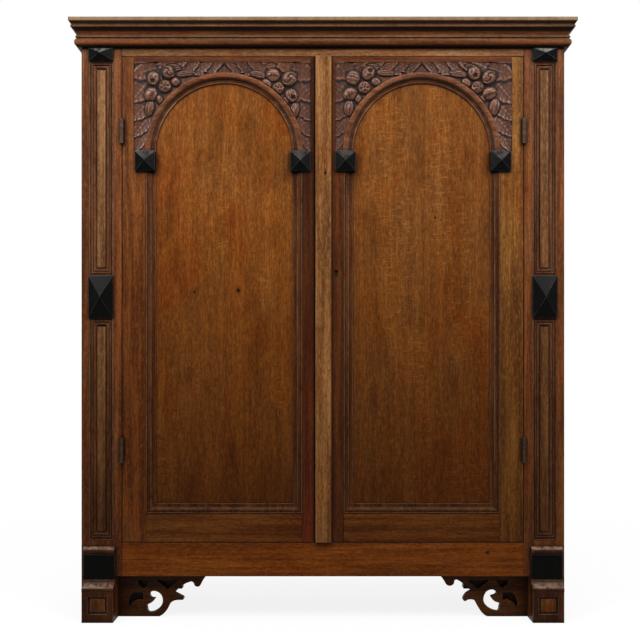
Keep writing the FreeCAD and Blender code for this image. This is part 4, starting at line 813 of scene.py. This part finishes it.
def metal(name, dark, bright, roughness):
    """Old metal: its patina in cloudy patches, brighter where it is rubbed."""
    material, tree, shader, place = new_material(name)
    clouds = stretched_noise(tree, place, 90.0, 90.0, detail=6.0, roughness=0.7)
    colour = blend_colour(tree, remap(tree, clouds, 0.35, 0.65), (*dark, 1), (*bright, 1))
    # The shared group also gives the metal dark wax with painted shade in its hollows, and painted
    # shade towards the floor
    worn_and_lit = use(tree, WEAR_AND_LIGHT, {
        "Color": colour, "Vector": place, "Wear And Light Colour": bright, "Wax And Shade": WAX_AND_SHADE, "Edge Radius": 0.0008,
        "Edge Wear And Light": 0.8, "Hollow Depth": 0.004, "Hollow Wax And Shade": 0.6})
    tree.links.new(worn_and_lit["Color"], shader.inputs["Base Color"])
    tree.links.new(remap(tree, clouds, 0.3, 0.7, roughness + 0.12, roughness - 0.08),
                   shader.inputs["Roughness"])
    tree.links.new(worn_and_lit["Normal"], shader.inputs["Normal"])
    shader.inputs["Metallic"].default_value = 0.85
    return material


IRON = metal("patinated_iron", (0.022, 0.012, 0.007), (0.060, 0.036, 0.022), 0.48)
LOCK_IRON = metal("lock_iron", (0.05, 0.045, 0.040), (0.16, 0.145, 0.13), 0.42)
BRASS = metal("dulled_brass", (0.20, 0.13, 0.055), (0.48, 0.34, 0.15), 0.34)
finish_nodes(IRON, "hinge_frame_leaves", "hinge_pins", "left_door_hinge_leaves",
             "right_door_hinge_leaves")
finish_nodes(LOCK_IRON, "lock_case", "lock_bolt", "lock_keep")
finish_nodes(BRASS, "shoot_bolt_guides", "upper_bolt", "lower_bolt")

# Floor, lamps and camera
# A pale floor and white surroundings, soft lamps above the front, at both sides and behind, and a
# level camera before the doors, as far away as the photograph's perspective says.


def seen_directly(tree):
    """Nought or one: whether a ray comes from the camera, a reflection or through glass."""
    path = add(tree, "LightPath").outputs
    straight = calculate(tree, "MAXIMUM", path["Is Camera Ray"], path["Is Glossy Ray"])
    return calculate(tree, "MAXIMUM", straight, path["Is Transmission Ray"])


FLOOR_HALF = 9.0
FLOOR_TONE = (0.35, 0.34, 0.33, 1)
FLOOR_TONE_SEEN = (0.9, 0.9, 0.9, 1)
# How far from the middle the shadow is kept, and how much white lies over the floor there
SHADOW_REACH = (1.2, 2.6)
SHADOW_VEIL = (0.86, 1.0)
WHITE = (1, 1, 1, 1)
SKY_LIGHT = 0.22
floor_mesh = bpy.data.meshes.new("floor")
floor_mesh.from_pydata([(-FLOOR_HALF, -FLOOR_HALF, 0), (FLOOR_HALF, -FLOOR_HALF, 0),
                        (FLOOR_HALF, FLOOR_HALF, 0), (-FLOOR_HALF, FLOOR_HALF, 0)],
                       [], [(0, 1, 2, 3)])
floor = bpy.data.objects.new("floor", floor_mesh)
bpy.context.collection.objects.link(floor)
floor_material, tree, shader, place = new_material("pale_floor")
seen = seen_directly(tree)
tree.links.new(blend_colour(tree, seen, FLOOR_TONE, FLOOR_TONE_SEEN), shader.inputs["Base Color"])
shader.inputs["Roughness"].default_value = 0.9
glow = add(tree, "Emission", {"Color": WHITE, "Strength": 1.0})
reach = add(tree, "VectorMath", {0: place}, operation="LENGTH").outputs["Value"]
share = calculate(tree, "MULTIPLY", seen, remap(tree, reach, *SHADOW_REACH, *SHADOW_VEIL))
mixed = add(tree, "MixShader", {0: share, 1: shader.outputs[0], 2: glow.outputs[0]})
tree.links.new(mixed.outputs[0], tree.nodes["Material Output"].inputs["Surface"])
floor_mesh.materials.append(floor_material)

world = bpy.data.worlds.new("studio")
bpy.context.scene.world = world
world.use_nodes = True
tree = world.node_tree
soft = add(tree, "Background", {"Color": WHITE, "Strength": SKY_LIGHT})
white = add(tree, "Background", {"Color": WHITE, "Strength": 1.0})
mixed = add(tree, "MixShader", {0: seen_directly(tree), 1: soft.outputs[0], 2: white.outputs[0]})
tree.links.new(mixed.outputs[0], tree.nodes["World Output"].inputs["Surface"])

# Place, size, power and the point each lamp faces
LAMPS = {
    "lamp_left": ((-1.7, -2.0, 2.6), (1.1, 0.8), 44.0, (-0.3, -0.25, 1.1)),
    "lamp_right": ((1.7, -2.0, 2.6), (1.1, 0.8), 40.0, (0.3, -0.25, 1.1)),
    "lamp_above": ((0.0, -1.5, 3.5), (2.6, 0.7), 62.0, (0.0, -0.25, 1.2)),
    "lamp_behind": ((0.0, 3.2, 1.5), (2.6, 1.2), 55.0, (0.0, 0.3, 0.9)),
    "lamp_side_left": ((-3.2, 0.3, 2.0), (1.4, 1.0), 26.0, (-0.7, 0.0, 0.9)),
    "lamp_side_right": ((3.2, 0.3, 2.0), (1.4, 1.0), 26.0, (0.7, 0.0, 0.9)),
}
for name, (place, size, power, target) in LAMPS.items():
    lamp = bpy.data.lights.new(name, "AREA")
    lamp.shape = "RECTANGLE"
    lamp.size, lamp.size_y = size
    lamp.energy = power
    lamp_object = bpy.data.objects.new(name, lamp)
    bpy.context.collection.objects.link(lamp_object)
    lamp_object.location = place
    aim = np.subtract(target, place)
    lamp_object.rotation_euler = (math.atan2(math.hypot(aim[0], aim[1]), -aim[2]), 0,
                                  math.atan2(-aim[0], aim[1]))

# The photograph's width, focal length, horizon and middle in its pixels, and where it was taken
PHOTO_WIDTH = 640
FOCAL_PIXELS = 900
HORIZON_ROW = 375
MIDDLE_COLUMN = 322.9
CAMERA_PLACE = (0, -2.952, 0.736)
camera = bpy.data.cameras.new("camera")
camera.lens = camera.sensor_width * FOCAL_PIXELS / PHOTO_WIDTH
camera.shift_x = (PHOTO_WIDTH / 2 - MIDDLE_COLUMN) / PHOTO_WIDTH
camera.shift_y = (HORIZON_ROW - PHOTO_WIDTH / 2) / PHOTO_WIDTH
camera_object = bpy.data.objects.new("camera", camera)
bpy.context.collection.objects.link(camera_object)
camera_object.location = CAMERA_PLACE
camera_object.rotation_euler = (math.pi / 2, 0, 0)
bpy.context.scene.camera = camera_object
bpy.context.scene.view_settings.view_transform = "Standard"
